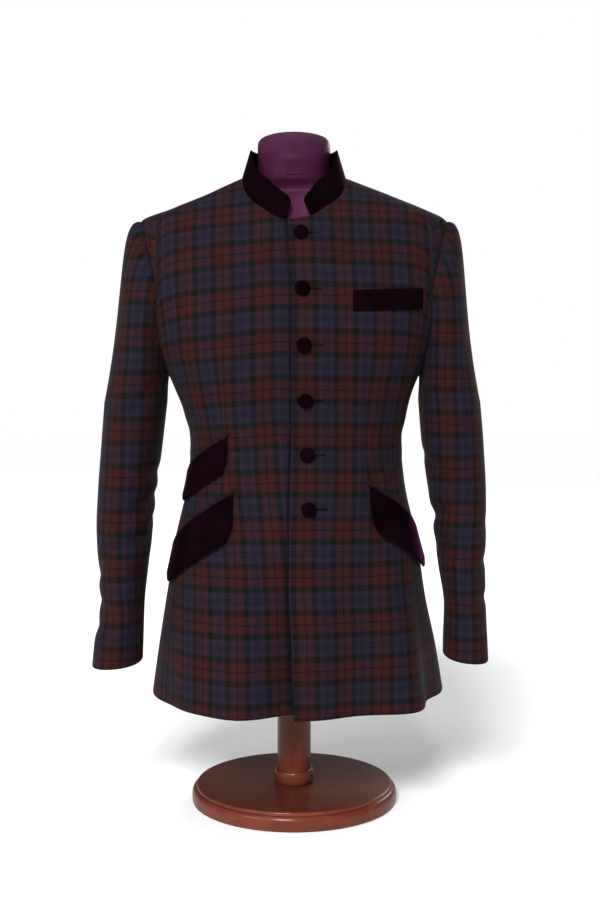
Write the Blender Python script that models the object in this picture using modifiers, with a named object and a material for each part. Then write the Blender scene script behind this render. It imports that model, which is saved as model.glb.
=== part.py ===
# A long nehru jacket in checked wool with velvet collar, flaps, welt and buttons, worn by a
# limbless dress form on a turned post and a round foot. Metres, +Z up, the front faces -Y,
# and the origin is the centre of the foot's underside. Left and right are the wearer's.

import functools
import math

import bpy
import numpy as np
from mathutils import Vector

# Cloth and seams
CLOTH = 0.0024
VELVET = 0.0030
SEAM = 0.0003
ON_TOP = 0.0006

# Stand
FOOT_RADIUS = 0.1535
FOOT_HEIGHT = 0.027
POST_RADIUS = 0.025
RING_RADIUS = 0.0297
RING_HEIGHT = 0.0205
FORM_BOTTOM = 0.305
FORM_INSET = 0.0065
FORM_DROP = 0.0038
FORM_ARM_END = 0.176
NECK_HALF_WIDTH = 0.0525
NECK_HALF_DEPTH = 0.0530
NECK_CAP_SLOPE = 0.42
NECK_CAP_HEIGHT = 0.976

# Main heights of the jacket
HEM = 0.1635
SHOULDER_TIP = 0.862
NECK_SIDE = 0.925
NECK_FRONT = 0.861
NECK_BACK = 0.920

# Outline of the closed jacket at each height. Front and back are distances from the post's
# axis, widest is how far behind it the sides lie, square is the power of the section's curve.
BODY_COLUMNS = ("height", "half_width", "front", "back", "widest", "square", "sway")
BODY = (
    (0.150, 0.2210, 0.165, 0.162, 0.022, 2.25, 0.006),
    (0.230, 0.2085, 0.154, 0.154, 0.020, 2.30, 0.005),
    (0.313, 0.1930, 0.143, 0.146, 0.015, 2.35, 0.003),
    (0.397, 0.1795, 0.132, 0.138, 0.010, 2.35, 0.003),
    (0.481, 0.1605, 0.120, 0.123, 0.005, 2.30, 0.003),
    (0.533, 0.1555, 0.116, 0.112, 0.003, 2.30, 0.003),
    (0.585, 0.1635, 0.121, 0.112, 0.000, 2.30, 0.002),
    (0.626, 0.1770, 0.127, 0.117, 0.000, 2.35, 0.000),
    (0.660, 0.1930, 0.131, 0.120, 0.000, 2.40, 0.000),
    (0.700, 0.2140, 0.131, 0.122, 0.000, 2.40, 0.000),
    (0.740, 0.2285, 0.126, 0.122, 0.000, 2.40, 0.000),
    (0.780, 0.2310, 0.117, 0.119, 0.000, 2.35, 0.000),
    (0.820, 0.2280, 0.104, 0.112, 0.000, 2.25, 0.000),
    (0.845, 0.2245, 0.092, 0.104, 0.000, 2.10, 0.000),
    (0.862, 0.2220, 0.081, 0.097, 0.000, 2.00, 0.000),
    (0.882, 0.1800, 0.068, 0.087, 0.000, 2.00, 0.005),
    (0.899, 0.1375, 0.056, 0.077, 0.000, 2.00, 0.005),
    (0.914, 0.1015, 0.043, 0.067, 0.000, 2.00, 0.002),
    (0.925, 0.0745, 0.031, 0.058, 0.000, 2.00, 0.000),
)

# Soft folds of the skirt. At is the share of the half girth from centre front to centre back,
# depth is outward at the hem, and a fold fades out at its top.
FOLD_COLUMNS = ("hand", "at", "spread", "top", "depth")
FOLDS = (
    ("right", 0.00, 0.085, 0.42, -0.036),
    ("right", 0.14, 0.070, 0.44, 0.009),
    ("left", 0.15, 0.090, 0.46, -0.017),
    ("left", 0.29, 0.060, 0.46, 0.010),
    ("left", 0.40, 0.070, 0.42, -0.016),
    ("right", 0.36, 0.070, 0.40, -0.008),
    ("right", 0.66, 0.080, 0.42, 0.009),
    ("left", 0.66, 0.080, 0.42, 0.009),
    ("right", 0.82, 0.080, 0.44, -0.010),
    ("left", 0.82, 0.080, 0.44, -0.010),
)

# Free edge of the left front, which laps over the right one
EDGE_COLUMNS = ("height", "across")
EDGE = (
    (0.150, 0.001),
    (0.283, -0.005),
    (0.340, -0.008),
    (0.470, -0.007),
    (0.595, -0.004),
    (0.753, -0.004),
    (0.862, -0.010),
)
UNDERLAP_EDGE = 0.033
LAP_LIFT = CLOTH + 0.0006
LAP_FLAT_TO = 0.036
LAP_GONE_AT = 0.075

# Neckline from centre front to the shoulder, and from there to centre back
NECKLINE_COLUMNS = ("across", "height")
FRONT_NECKLINE = (
    (0.0, 0.861),
    (0.022, 0.8655),
    (0.0435, 0.879),
    (0.0645, 0.896),
    (0.0713, 0.909),
    (0.0745, 0.925),
)
BACK_NECKLINE = ((0.0, 0.920), (0.030, 0.9205), (0.058, 0.9225), (0.0745, 0.925))

# Armhole, an oval seen from the side that is cut straighter down the front from the shoulder,
# and where the side panel's seams meet it
ARMHOLE_MIDDLE = 0.751
ARMHOLE_HALF_HEIGHT = SHOULDER_TIP - ARMHOLE_MIDDLE
ARMHOLE_FRONT = 0.078
ARMHOLE_BACK = 0.082
ARMHOLE_STRAIGHTER = 0.40
SIDE_PANEL_FROM = math.radians(140)
SIDE_PANEL_TO = math.radians(220)
ARMHOLE_GAP = 0.0013
FRONT_SEAM_AT_HEM = 0.38
BACK_SEAM_AT_HEM = 0.60

# Sleeve outline below the armpit. The right sleeve hangs a little further out than the left.
SLEEVE_COLUMNS = ("height", "right_outer", "right_inner", "left_outer", "left_inner", "front", "back")
SLEEVE = (
    (0.190, 0.2990, 0.2240, 0.2870, 0.2190, 0.092, 0.012),
    (0.250, 0.2935, 0.2225, 0.2845, 0.2200, 0.085, 0.023),
    (0.300, 0.2865, 0.2215, 0.2830, 0.2220, 0.077, 0.036),
    (0.355, 0.2895, 0.2165, 0.2825, 0.2145, 0.068, 0.051),
    (0.418, 0.2925, 0.2085, 0.2845, 0.2060, 0.062, 0.064),
    (0.460, 0.2905, 0.2045, 0.2840, 0.2005, 0.062, 0.069),
    (0.543, 0.2835, 0.1940, 0.2790, 0.1885, 0.067, 0.074),
    (0.600, 0.2785, 0.1870, 0.2735, 0.1835, 0.072, 0.076),
)
CAP_FOOT = 0.600
CUFF = {"right": 0.219, "left": 0.227}
CUFF_DROP_OUTSIDE = 0.0035
SLEEVE_SQUARE = 2.2
FRONT_SLEEVE_SEAM = math.radians(118)
BACK_SLEEVE_SEAM_TOP = math.radians(262)
BACK_SLEEVE_SEAM_CUFF = math.radians(318)

# Collar
COLLAR_HEIGHT = 0.0415
COLLAR_LEAN = math.radians(17)
COLLAR_END_HEIGHT = 0.72
COLLAR_END_ROUND = 0.026
COLLAR_RIGHT_END = -0.0125
COLLAR_LEFT_END = 0.0240
COLLAR_END_LEAN = 0.0085
NECK_AXIS_BEHIND = -0.008

# Buttons down the left front
BUTTONS = 6
BUTTON_TOP = 0.841
BUTTON_PITCH = 0.077
BUTTON_ACROSS = 0.010
BUTTON_DRIFT = 0.0022
BUTTON_RADIUS = 0.0107
BUTTON_DEPTH = 0.0062

# Pocket pieces: name, hand, across and height of the front top corner, slope, length, drop,
# corner radius, and how far the lower edge stands off
PATCH_COLUMNS = ("name", "hand", "across", "height", "slope", "length", "drop", "corner", "flare")
FLAPS = (
    ("ticket_flap", "right", -0.094, 0.5560, 28.0, 0.118, 0.050, 0.018, 0.0030),
    ("right_hip_flap", "right", -0.085, 0.4765, 30.0, 0.165, 0.064, 0.024, 0.0040),
    ("left_hip_flap", "left", 0.1070, 0.4860, 28.0, 0.160, 0.062, 0.024, 0.0045),
)
JET_WIDTH = 0.006
JET_THICKNESS = 0.0014
JET_PAST_FLAP = 0.003
WELT_ACROSS = 0.0820
WELT_HEIGHT = 0.7625
WELT_RISE = -1.5
WELT_LENGTH = 0.104
WELT_DROP = 0.0285

# Mesh spacing
LOWER_ROWS = 13
WAIST_ROW = 8
UPPER_ROWS = 9
NECK_COLUMNS = 5
SHOULDER_COLUMNS = 5
SIDE_COLUMNS = 5
TOP_SLEEVE_COLUMNS = 11
UNDER_SLEEVE_COLUMNS = 9
CAP_RINGS = 7
ARM_RINGS = 10
TURN_STEPS = 720


def smooth_line(places, values):
    """A smooth function through the given values that doesn't overshoot between them."""
    places, values = np.asarray(places, float), np.asarray(values, float)
    steps = np.diff(places)
    slopes = np.diff(values) / steps
    tangents = np.zeros_like(values)
    for i in range(1, len(values) - 1):
        before, after = slopes[i - 1], slopes[i]
        if before * after > 0:
            tangents[i] = 2 * before * after / (before + after)
    tangents[0], tangents[-1] = slopes[0], slopes[-1]

    def at(place):
        place = min(max(place, places[0]), places[-1])
        k = min(max(int(np.searchsorted(places, place, side="right")) - 1, 0), len(steps) - 1)
        t = (place - places[k]) / steps[k]
        start = (1 + 2 * t) * (1 - t) ** 2 * values[k] + t * (1 - t) ** 2 * steps[k] * tangents[k]
        end = t * t * (3 - 2 * t) * values[k + 1] + t * t * (t - 1) * steps[k] * tangents[k + 1]
        return start + end

    return at


def table_lines(columns, rows):
    """One smooth function of the first column for each of the other columns."""
    places = [row[0] for row in rows]
    return {name: smooth_line(places, [row[i] for row in rows]) for i, name in enumerate(columns) if i}


BODY_LINES = table_lines(BODY_COLUMNS, BODY)
SLEEVE_LINES = table_lines(SLEEVE_COLUMNS, SLEEVE)
EDGE_LINE = table_lines(EDGE_COLUMNS, EDGE)["across"]
FRONT_NECK_LINE = table_lines(NECKLINE_COLUMNS, FRONT_NECKLINE)["height"]
BACK_NECK_LINE = table_lines(NECKLINE_COLUMNS, BACK_NECKLINE)["height"]


def ease(value, start, end):
    """0 before start, 1 after end, and a smooth step between them."""
    t = min(max((value - start) / (end - start), 0.0), 1.0)
    return t * t * (3 - 2 * t)


def signed_power(value, power):
    return np.sign(value) * np.abs(value) ** power


@functools.lru_cache(maxsize=None)
def section(height):
    """The named sizes of the body's section at one height."""
    return {name: float(line(height)) for name, line in BODY_LINES.items()}


def fold_depth(share, height, hand):
    """How far the skirt's folds push the cloth out at a place on one hand of the body."""
    pushed = np.zeros_like(share)
    for fold_hand, at, spread, top, depth in FOLDS:
        if hand != fold_hand or height >= top:
            continue
        growth = ((top - height) / (top - HEM)) ** 1.4
        pushed += depth * growth * np.exp(-(((np.abs(share) - at) / spread) ** 2))
    return pushed


@functools.lru_cache(maxsize=None)
def outline(height, hand):
    """Arc length from the centre front, and points, round the folded section of one hand.
    The left hand runs to +X."""
    size = section(height)
    turn = np.linspace(-math.pi, math.pi, TURN_STEPS + 1)
    x = size["sway"] + size["half_width"] * signed_power(np.sin(turn), 2 / size["square"])
    depth = np.where(np.cos(turn) > 0, size["front"] + size["widest"], size["back"] - size["widest"])
    y = size["widest"] - depth * signed_power(np.cos(turn), 2 / size["square"])
    arc = np.concatenate([[0.0], np.cumsum(np.hypot(np.diff(x), np.diff(y)))])
    arc -= arc[TURN_STEPS // 2]
    along_x, along_y = np.gradient(x, arc), np.gradient(y, arc)
    pushed = fold_depth(arc / arc[-1], height, hand)
    return arc, x + pushed * along_y, y - pushed * along_x


def half_girth(height):
    return float(outline(height, "left")[0][-1])


def body_normal(point):
    """Outward direction of the body at a point on it, shared by every piece that meets there."""

    def level(x, y, z):
        size = section(round(z, 7))
        behind = y - size["widest"]
        depth = size["front"] + size["widest"] if behind < 0 else size["back"] - size["widest"]
        across = abs(x - size["sway"]) / size["half_width"]
        return across ** size["square"] + (abs(behind) / depth) ** size["square"]

    x, y, z = point
    step = 0.0008
    z = min(z, NECK_SIDE - step)
    slope = np.array(
        [
            level(x + step, y, z) - level(x - step, y, z),
            level(x, y + step, z) - level(x, y - step, z),
            level(x, y, z + step) - level(x, y, z - step),
        ]
    )
    return slope / np.linalg.norm(slope)


def body_at(arc, height, hand):
    """The body's point at a distance round from the centre front."""
    height = round(float(height), 7)
    arcs, x, y = outline(height, hand)
    return np.array([np.interp(arc, arcs, x), np.interp(arc, arcs, y), height])


def on_rows(arc, height, hand):
    """Like body_at, but straight between the heights of the panels' rows, as the panels are."""
    pitch = (float(armhole(SIDE_PANEL_FROM)[2]) - HEM) / LOWER_ROWS
    row = math.floor((height - HEM) / pitch)
    share = (height - HEM) / pitch - row
    below, above = (body_at(arc, HEM + pitch * k, hand) for k in (row, row + 1))
    return below * (1 - share) + above * share


def front_at(across, height, hand):
    """Distance from the centre front, and the point, at a given X on the front's own rows."""
    arcs, xs, _ = outline(round(float(height), 7), hand)
    front_half = slice(TURN_STEPS // 4, 3 * TURN_STEPS // 4 + 1)
    arc = float(np.interp(across, xs[front_half], arcs[front_half]))
    return arc, on_rows(arc, height, hand) if height < CAP_FOOT else body_at(arc, height, hand)


def onto_body(point):
    """Moves a point straight out from the section's middle onto the body."""
    x, y, z = point
    size = section(round(float(z), 7))
    behind, across = y - size["widest"], x - size["sway"]
    depth = size["front"] + size["widest"] if behind < 0 else size["back"] - size["widest"]
    power = size["square"]
    reach = ((abs(across) / size["half_width"]) ** power + (abs(behind) / depth) ** power) ** (1 / power)
    return np.array([size["sway"] + across / reach, size["widest"] + behind / reach, z])


def on_front_or_back(across, height, front):
    """The body's point at a given X and height, on its front or its back."""
    size = section(round(float(height), 7))
    share = min(abs(across - size["sway"]) / size["half_width"], 1.0)
    left_over = (1 - share ** size["square"]) ** (1 / size["square"])
    if front:
        y = size["widest"] - (size["front"] + size["widest"]) * left_over
    else:
        y = size["widest"] + (size["back"] - size["widest"]) * left_over
    return np.array([across, y, height])


def armhole(turn):
    """A point of the left armhole: 0 at the shoulder, pi/2 at the front, pi at the armpit."""
    if math.sin(turn) > 0:
        y = -ARMHOLE_FRONT * math.sin(turn) * (1 - ARMHOLE_STRAIGHTER * max(math.cos(turn), 0.0) ** 1.25)
    else:
        y = -ARMHOLE_BACK * math.sin(turn)
    height = round(ARMHOLE_MIDDLE + ARMHOLE_HALF_HEIGHT * math.cos(turn), 7)
    size = section(height)
    depth = size["front"] if y < 0 else size["back"]
    left_over = max(1 - (abs(y) / depth) ** size["square"], 0.0) ** (1 / size["square"])
    return np.array([size["half_width"] * left_over, y, height])


def seam_share(height, turn, at_hem):
    """Share of the half girth at which a side seam lies, straight from the hem to the armhole."""
    x, y, top = armhole(turn)
    arcs, xs, ys = outline(round(float(top), 7), "left")
    side = slice(TURN_STEPS // 2, None)
    at_top = float(np.interp(y, ys[side], arcs[side])) / arcs[-1]
    up = (height - HEM) / (top - HEM)
    return at_hem + (at_top - at_hem) * up


def even(line, count):
    """A polyline's points spaced evenly along it."""
    line = np.asarray(line)
    run = np.concatenate([[0.0], np.cumsum(np.linalg.norm(np.diff(line, axis=0), axis=1))])
    wanted = np.linspace(0, run[-1], count)
    return np.stack([np.interp(wanted, run, line[:, i]) for i in range(3)], axis=1)


def patch_between(bottom, top, left, right, places):
    """A grid of rows that fills the space between four edge lines with shared corners. The
    places say how far up each row lies, from 0 to 1."""
    rows, columns = len(left), len(bottom)
    grid = np.zeros((rows, columns, 3))
    for r, up in enumerate(places):
        for c in range(columns):
            across = c / (columns - 1)
            ruled = (1 - across) * left[r] + across * right[r] + (1 - up) * bottom[c] + up * top[c]
            corners = (1 - up) * ((1 - across) * bottom[0] + across * bottom[-1])
            corners += up * ((1 - across) * top[0] + across * top[-1])
            grid[r, c] = ruled - corners
    return grid


def closer_to_top(count):
    """Row places from 0 to 1 that draw together towards 1."""
    return [math.sin(i / (count - 1) * math.pi / 2) ** 0.9 for i in range(count)]


def centre_back(height):
    """X of the centre back seam, which swings with the body's sway below the armholes."""
    return section(round(float(height), 7))["sway"] if height < ARMHOLE_MIDDLE else 0.0


def panel_grid(hand, front, inner_edge):
    """Outer points of a front or a back on one hand, from the hem up to neckline and shoulder.
    inner_edge gives the signed X of the edge at the middle for each height."""
    side = 1.0 if hand == "left" else -1.0
    turn = SIDE_PANEL_FROM if front else SIDE_PANEL_TO
    at_hem = FRONT_SEAM_AT_HEM if front else BACK_SEAM_AT_HEM
    joint_height = float(armhole(turn)[2])
    neck_columns = NECK_COLUMNS + (2 if front and hand == "right" else 0)
    columns = neck_columns + SHOULDER_COLUMNS + 1

    rows = []
    for height in np.linspace(HEM, joint_height, LOWER_ROWS + 1):
        arcs = outline(round(float(height), 7), hand)[0]
        across = inner_edge(height) - section(round(float(height), 7))["sway"]
        start = across if front else side * arcs[-1] - across
        end = side * (arcs[-1] * seam_share(height, turn, at_hem) + (-SEAM if front else SEAM))
        rows.append([body_at(arc, height, hand) for arc in np.linspace(start, end, columns)])
    lower = np.array(rows)

    neck_line = FRONT_NECK_LINE if front else BACK_NECK_LINE
    neck_edge = inner_edge(NECK_FRONT if front else NECK_BACK)
    spread = np.linspace(neck_edge, side * section(NECK_SIDE)["half_width"], 30)
    neck = [on_front_or_back(x, min(neck_line(abs(x)), NECK_SIDE), front) for x in spread]
    shoulder = []
    for height in np.linspace(NECK_SIDE, SHOULDER_TIP, 30):
        size = section(round(float(height), 7))
        shoulder.append(np.array([size["sway"] + side * size["half_width"], size["widest"], height]))
    gap = np.array([0.0, -SEAM if front else SEAM, 0.0])
    top_neck = even(neck, neck_columns + 1)
    top_neck[-1] = top_neck[-1] + gap
    top = np.concatenate([top_neck, even(shoulder, SHOULDER_COLUMNS + 1)[1:] + gap])

    places = closer_to_top(UPPER_ROWS + 1)
    heights = [joint_height + (top[0][2] - joint_height) * p for p in places]
    left = np.array([on_front_or_back(inner_edge(h), h, front) for h in heights])
    last = 0.0 if front else 2 * math.pi
    turns = [turn + (last - turn) * p for p in places]
    right = np.array([armhole(t) * np.array([side, 1.0, 1.0]) for t in turns])
    left[0], left[-1], right[0], right[-1] = lower[-1, 0], top[0], lower[-1, -1], top[-1]

    upper = patch_between(lower[-1], top, left, right, places)
    for r in range(1, UPPER_ROWS):
        for c in range(1, columns - 1):
            upper[r, c] = onto_body(upper[r, c])
    return np.concatenate([lower, upper[1:]])


def side_panel_grid(hand):
    """Outer points of the panel under the arm, from the hem to the foot of the armhole."""
    side = 1.0 if hand == "left" else -1.0
    first, last = armhole(SIDE_PANEL_FROM)[1], armhole(SIDE_PANEL_TO)[1]
    grid = np.zeros((LOWER_ROWS + 1, SIDE_COLUMNS + 1, 3))
    for c in range(SIDE_COLUMNS + 1):
        share = c / SIDE_COLUMNS
        y = first + (last - first) * share
        reach = ARMHOLE_FRONT if y < 0 else ARMHOLE_BACK
        top = ARMHOLE_MIDDLE - ARMHOLE_HALF_HEIGHT * math.sqrt(1 - (y / reach) ** 2)
        for r, height in enumerate(np.linspace(HEM, top, LOWER_ROWS + 1)):
            girth = half_girth(round(float(height), 7))
            start = girth * seam_share(height, SIDE_PANEL_FROM, FRONT_SEAM_AT_HEM) + SEAM
            end = girth * seam_share(height, SIDE_PANEL_TO, BACK_SEAM_AT_HEM) - SEAM
            grid[r, c] = body_at(side * (start + (end - start) * share), height, hand)
    return grid


def lap_lift(grid):
    """Raises the left front where it lies over the right one."""
    raised = grid.copy()
    for r, c in np.ndindex(grid.shape[:2]):
        point = grid[r, c]
        lift = LAP_LIFT * (1 - ease(point[0], LAP_FLAT_TO, LAP_GONE_AT))
        raised[r, c] = point + body_normal(point) * lift
    return raised


def sleeve_ring(turn, height, hand):
    """A point of the sleeve below the armpit, on the left: 0 outside, pi/2 front, pi inside."""
    size = {name: float(line(height)) for name, line in SLEEVE_LINES.items()}
    outer, inner = size[hand + "_outer"], size[hand + "_inner"]
    x = (outer + inner) / 2 + (outer - inner) / 2 * signed_power(math.cos(turn), 2 / SLEEVE_SQUARE)
    middle, half = (size["back"] - size["front"]) / 2, (size["front"] + size["back"]) / 2
    y = middle - half * signed_power(math.sin(turn), 2 / SLEEVE_SQUARE)
    return np.array([x, y, height])


def sleeve_at(turn, along, hand):
    """A point of the sleeve on the left: along is 0 at the armhole, 1 at the armpit's level
    and 2 at the cuff."""
    if along > 1:
        cuff = CUFF[hand] - CUFF_DROP_OUTSIDE * math.cos(turn)
        return sleeve_ring(turn, CAP_FOOT + (cuff - CAP_FOOT) * (along - 1), hand)
    over = (1 + math.cos(turn)) / 2
    start = armhole(turn) + np.array([ARMHOLE_GAP, 0.0, 0.0])
    end = sleeve_ring(turn, CAP_FOOT, hand)
    leaving = np.array(
        [
            0.002 + 0.0335 * over**0.7,
            -0.016 * math.sin(turn),
            0.008 * math.cos(turn) - 0.012 * abs(math.sin(turn)),
        ]
    )
    rise = (start[2] - end[2]) * (0.3 + 0.31 * over)
    arriving = rise * np.array([-0.05 - 0.17 * over, -0.1 * math.sin(turn), 1.0])
    a, b = 1 - along, along
    return a**3 * start + 3 * a * a * b * (start + leaving) + 3 * a * b * b * (end + arriving) + b**3 * end


def sleeve_normal(turn, along, hand):
    """Outward direction of the left sleeve, from its own slopes."""
    step = 0.01
    before, after = max(along - step, 0.0), min(along + step, 2.0)
    down = sleeve_at(turn, after, hand) - sleeve_at(turn, before, hand)
    round_it = sleeve_at(turn + step, along, hand) - sleeve_at(turn - step, along, hand)
    normal = np.cross(round_it, down)
    return normal / np.linalg.norm(normal)


def neckline(turn):
    """A point of the neckline on the body: 0 at centre front, pi/2 at the left shoulder."""
    front = math.cos(turn) > 0
    across = section(NECK_SIDE)["half_width"] * math.sin(turn)
    height = (FRONT_NECK_LINE if front else BACK_NECK_LINE)(abs(across))
    return on_front_or_back(across, min(height, NECK_SIDE - 1e-5), front)


def collar_at(turn, rise, inset):
    """A point of the collar over the neckline, inset from its outer face."""
    foot = neckline(turn)
    lift = LAP_LIFT * (1 - ease(foot[0], LAP_FLAT_TO, LAP_GONE_AT)) if foot[0] > COLLAR_RIGHT_END else 0.0
    foot = foot + body_normal(foot) * (lift + 0.0005)
    outward = np.array([foot[0], foot[1] - NECK_AXIS_BEHIND, 0.0])
    outward /= np.linalg.norm(outward)
    climb = np.array([0.0, 0.0, math.cos(COLLAR_LEAN)]) - outward * math.sin(COLLAR_LEAN)
    across = outward * math.cos(COLLAR_LEAN) + np.array([0.0, 0.0, math.sin(COLLAR_LEAN)])
    return foot + climb * (rise + 0.0018) - across * inset


def material(name, colour, roughness):
    found = bpy.data.materials.get(name)
    if found:
        return found
    made = bpy.data.materials.new(name)
    made.use_nodes = True
    shader = made.node_tree.nodes["Principled BSDF"]
    shader.inputs["Base Color"].default_value = (*colour, 1.0)
    shader.inputs["Roughness"].default_value = roughness
    made.diffuse_color = (*colour, 1.0)
    return made


def wool():
    return material("checked_wool", (0.042, 0.024, 0.032), 0.85)


def velvet():
    return material("plum_velvet", (0.010, 0.003, 0.007), 0.9)


def wood():
    return material("red_brown_wood", (0.150, 0.034, 0.018), 0.35)


def form_cover():
    return material("plum_form_cover", (0.130, 0.030, 0.075), 0.45)


def add_object(name, mesh, collection, paint):
    mesh.materials.append(paint)
    made = bpy.data.objects.new(name, mesh)
    collection.objects.link(made)
    mesh.shade_smooth()
    mesh.set_sharp_from_angle(angle=math.radians(40))
    return made


def wall(name, outer, inner, collection, paint):
    """A closed cloth wall between two grids of points, with rims along its four edges."""
    rows, columns = outer.shape[:2]
    points = [tuple(p) for grid in (outer, inner) for p in grid.reshape(-1, 3)]
    under = rows * columns

    def at(r, c):
        return r * columns + c

    faces = []
    for r in range(rows - 1):
        for c in range(columns - 1):
            a, b, d, e = at(r, c), at(r, c + 1), at(r + 1, c + 1), at(r + 1, c)
            faces.append((a, b, d, e))
            faces.append((under + e, under + d, under + b, under + a))
    border = [at(0, c) for c in range(columns)] + [at(r, columns - 1) for r in range(1, rows)]
    border += [at(rows - 1, c) for c in range(columns - 2, -1, -1)]
    border += [at(r, 0) for r in range(rows - 2, 0, -1)]
    for here, there in zip(border, border[1:] + border[:1]):
        faces.append((there, here, under + here, under + there))
    mesh = bpy.data.meshes.new(name)
    mesh.from_pydata(points, [], faces)
    turn_outward(mesh)
    return add_object(name, mesh, collection, paint)


def turn_outward(mesh):
    """Turns a closed mesh's faces round if they point inwards."""
    mesh.calc_loop_triangles()
    corners = np.array([[mesh.vertices[i].co for i in t.vertices] for t in mesh.loop_triangles])
    if np.linalg.det(corners).sum() < 0:
        mesh.flip_normals()


def wall_in_two(first_name, last_name, row, outer, inner, collection):
    """One cut piece of cloth as two walls that lie a seam's gap apart along one row."""
    halves = []
    for grid in (outer, inner):
        before, here, after = grid[row - 1], grid[row], grid[row + 1]
        back, on = before - here, after - here
        back = back / np.linalg.norm(back, axis=1, keepdims=True) * SEAM / 2
        on = on / np.linalg.norm(on, axis=1, keepdims=True) * SEAM / 2
        first = np.concatenate([grid[:row], (here + back)[None]])
        last = np.concatenate([(here + on)[None], grid[row + 1 :]])
        halves.append((first, last))
    wall(first_name, halves[0][0], halves[1][0], collection, wool())
    wall(last_name, halves[0][1], halves[1][1], collection, wool())


def body_panel(name, grid, collection, row=None):
    """A panel of the body, its thickness inside the outer grid."""
    inner = grid.copy()
    for r, c in np.ndindex(grid.shape[:2]):
        inner[r, c] = grid[r, c] - body_normal(grid[r, c]) * CLOTH
    if row:
        wall_in_two(name + "_skirt", name, row, grid, inner, collection)
    else:
        wall(name, grid, inner, collection, wool())


def sleeve_part(name, hand, first, last, columns, collection, row=None):
    """One part of a two-part sleeve between two seams, each given as a function of along."""
    side = np.array([1.0 if hand == "left" else -1.0, 1.0, 1.0])
    places = list(np.linspace(0, 1, CAP_RINGS + 1) ** 1.3) + list(np.linspace(1, 2, ARM_RINGS + 1)[1:])
    outer = np.zeros((len(places), columns + 1, 3))
    inner = outer.copy()
    for r, along in enumerate(places):
        for c in range(columns + 1):
            turn = first(along) + (last(along) - first(along)) * c / columns
            point = sleeve_at(turn, along, hand)
            outer[r, c] = point * side
            inner[r, c] = (point - sleeve_normal(turn, along, hand) * CLOTH) * side
    if row:
        wall_in_two(name + "_head", name, row, outer, inner, collection)
    else:
        wall(name, outer, inner, collection, wool())


def sleeve(hand, collection):
    """A sleeve's top and under parts, which meet along a front and a back seam."""
    gap = SEAM / 0.055

    def back_seam(along):
        share = ease(along, 0.2, 1.7)
        return BACK_SLEEVE_SEAM_TOP + (BACK_SLEEVE_SEAM_CUFF - BACK_SLEEVE_SEAM_TOP) * share

    sleeve_part(
        hand + "_top_sleeve",
        hand,
        lambda along: back_seam(along) - 2 * math.pi + gap,
        lambda along: FRONT_SLEEVE_SEAM - gap,
        TOP_SLEEVE_COLUMNS,
        collection,
        CAP_RINGS,
    )
    sleeve_part(
        hand + "_under_sleeve",
        hand,
        lambda along: FRONT_SLEEVE_SEAM + gap,
        lambda along: back_seam(along) - gap,
        UNDER_SLEEVE_COLUMNS,
        collection,
    )


def collar(collection):
    """The stand collar, one band open at the front with leaning, rounded ends."""
    half_width = section(NECK_SIDE)["half_width"]
    columns, rows = 34, 4
    outer = np.zeros((rows + 1, columns + 1, 3))
    inner = outer.copy()
    for r in range(rows + 1):
        up = r / rows
        first = math.asin((COLLAR_LEFT_END - COLLAR_END_LEAN * up) / half_width)
        last = 2 * math.pi + math.asin((COLLAR_RIGHT_END + COLLAR_END_LEAN * up) / half_width)
        for c in range(columns + 1):
            turn = first + (last - first) * c / columns
            from_end = min(turn - first, last - turn) * half_width
            round_off = ease(from_end, -0.3 * COLLAR_END_ROUND, COLLAR_END_ROUND)
            height = COLLAR_HEIGHT * (COLLAR_END_HEIGHT + (1 - COLLAR_END_HEIGHT) * round_off)
            outer[r, c] = collar_at(turn, height * up, 0.0)
            inner[r, c] = collar_at(turn, height * up, VELVET)
    wall("collar", outer, inner, collection, velvet())


def patch_on_body(name, hand, place, shape, lifts, steps, collection, paint):
    """A piece that lies on the body. place is across, height and slope of its front top corner.
    shape is length, drop and corner radius. lifts are inner gap, thickness and flare."""
    side = 1.0 if hand == "left" else -1.0
    across, height, slope = place
    length, drop, corner = shape
    gap, thickness, flare = lifts
    columns, rows = steps
    start, _ = front_at(across, height, hand)
    outer = np.zeros((rows + 1, columns + 1, 3))
    inner = outer.copy()
    for c in range(columns + 1):
        run = length * (c / columns) ** 1.15
        nearest_end = min(run, length - run)
        cut = corner - math.sqrt(max(corner**2 - max(corner - nearest_end, 0.0) ** 2, 0.0))
        for r in range(rows + 1):
            down = r / rows
            z = height - run * math.sin(slope) - down * (drop - cut)
            surface = on_rows if z < CAP_FOOT else body_at
            foot = surface(start + side * run * math.cos(slope), z, hand)
            normal = body_normal(foot)
            lift = gap + flare * down**1.5
            outer[r, c] = foot + normal * (lift + thickness)
            inner[r, c] = foot + normal * lift
    return wall(name, outer, inner, collection, paint)


def pockets(collection):
    """Slanted flaps under narrow jets, and the breast pocket's welt."""
    for name, hand, across, height, slope, length, drop, corner, flare in FLAPS:
        angle = math.radians(slope)
        lifts = (ON_TOP, VELVET, flare)
        place, shape = (across, height, angle), (length, drop, corner)
        patch_on_body(name, hand, place, shape, lifts, (12, 5), collection, velvet())
        side = 1.0 if hand == "left" else -1.0
        rise = JET_WIDTH + SEAM * 2 + JET_PAST_FLAP * math.tan(angle)
        corner_place = (across - side * JET_PAST_FLAP, height + rise, angle)
        patch_on_body(
            name.replace("flap", "jet"),
            hand,
            corner_place,
            (length + 2 * JET_PAST_FLAP, JET_WIDTH, 0.0),
            (ON_TOP, JET_THICKNESS, 0.0),
            (12, 1),
            collection,
            wool(),
        )
    patch_on_body(
        "breast_welt",
        "left",
        (WELT_ACROSS, WELT_HEIGHT, math.radians(WELT_RISE)),
        (WELT_LENGTH, WELT_DROP, 0.0),
        (ON_TOP, VELVET, 0.0),
        (8, 2),
        collection,
        velvet(),
    )


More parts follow.
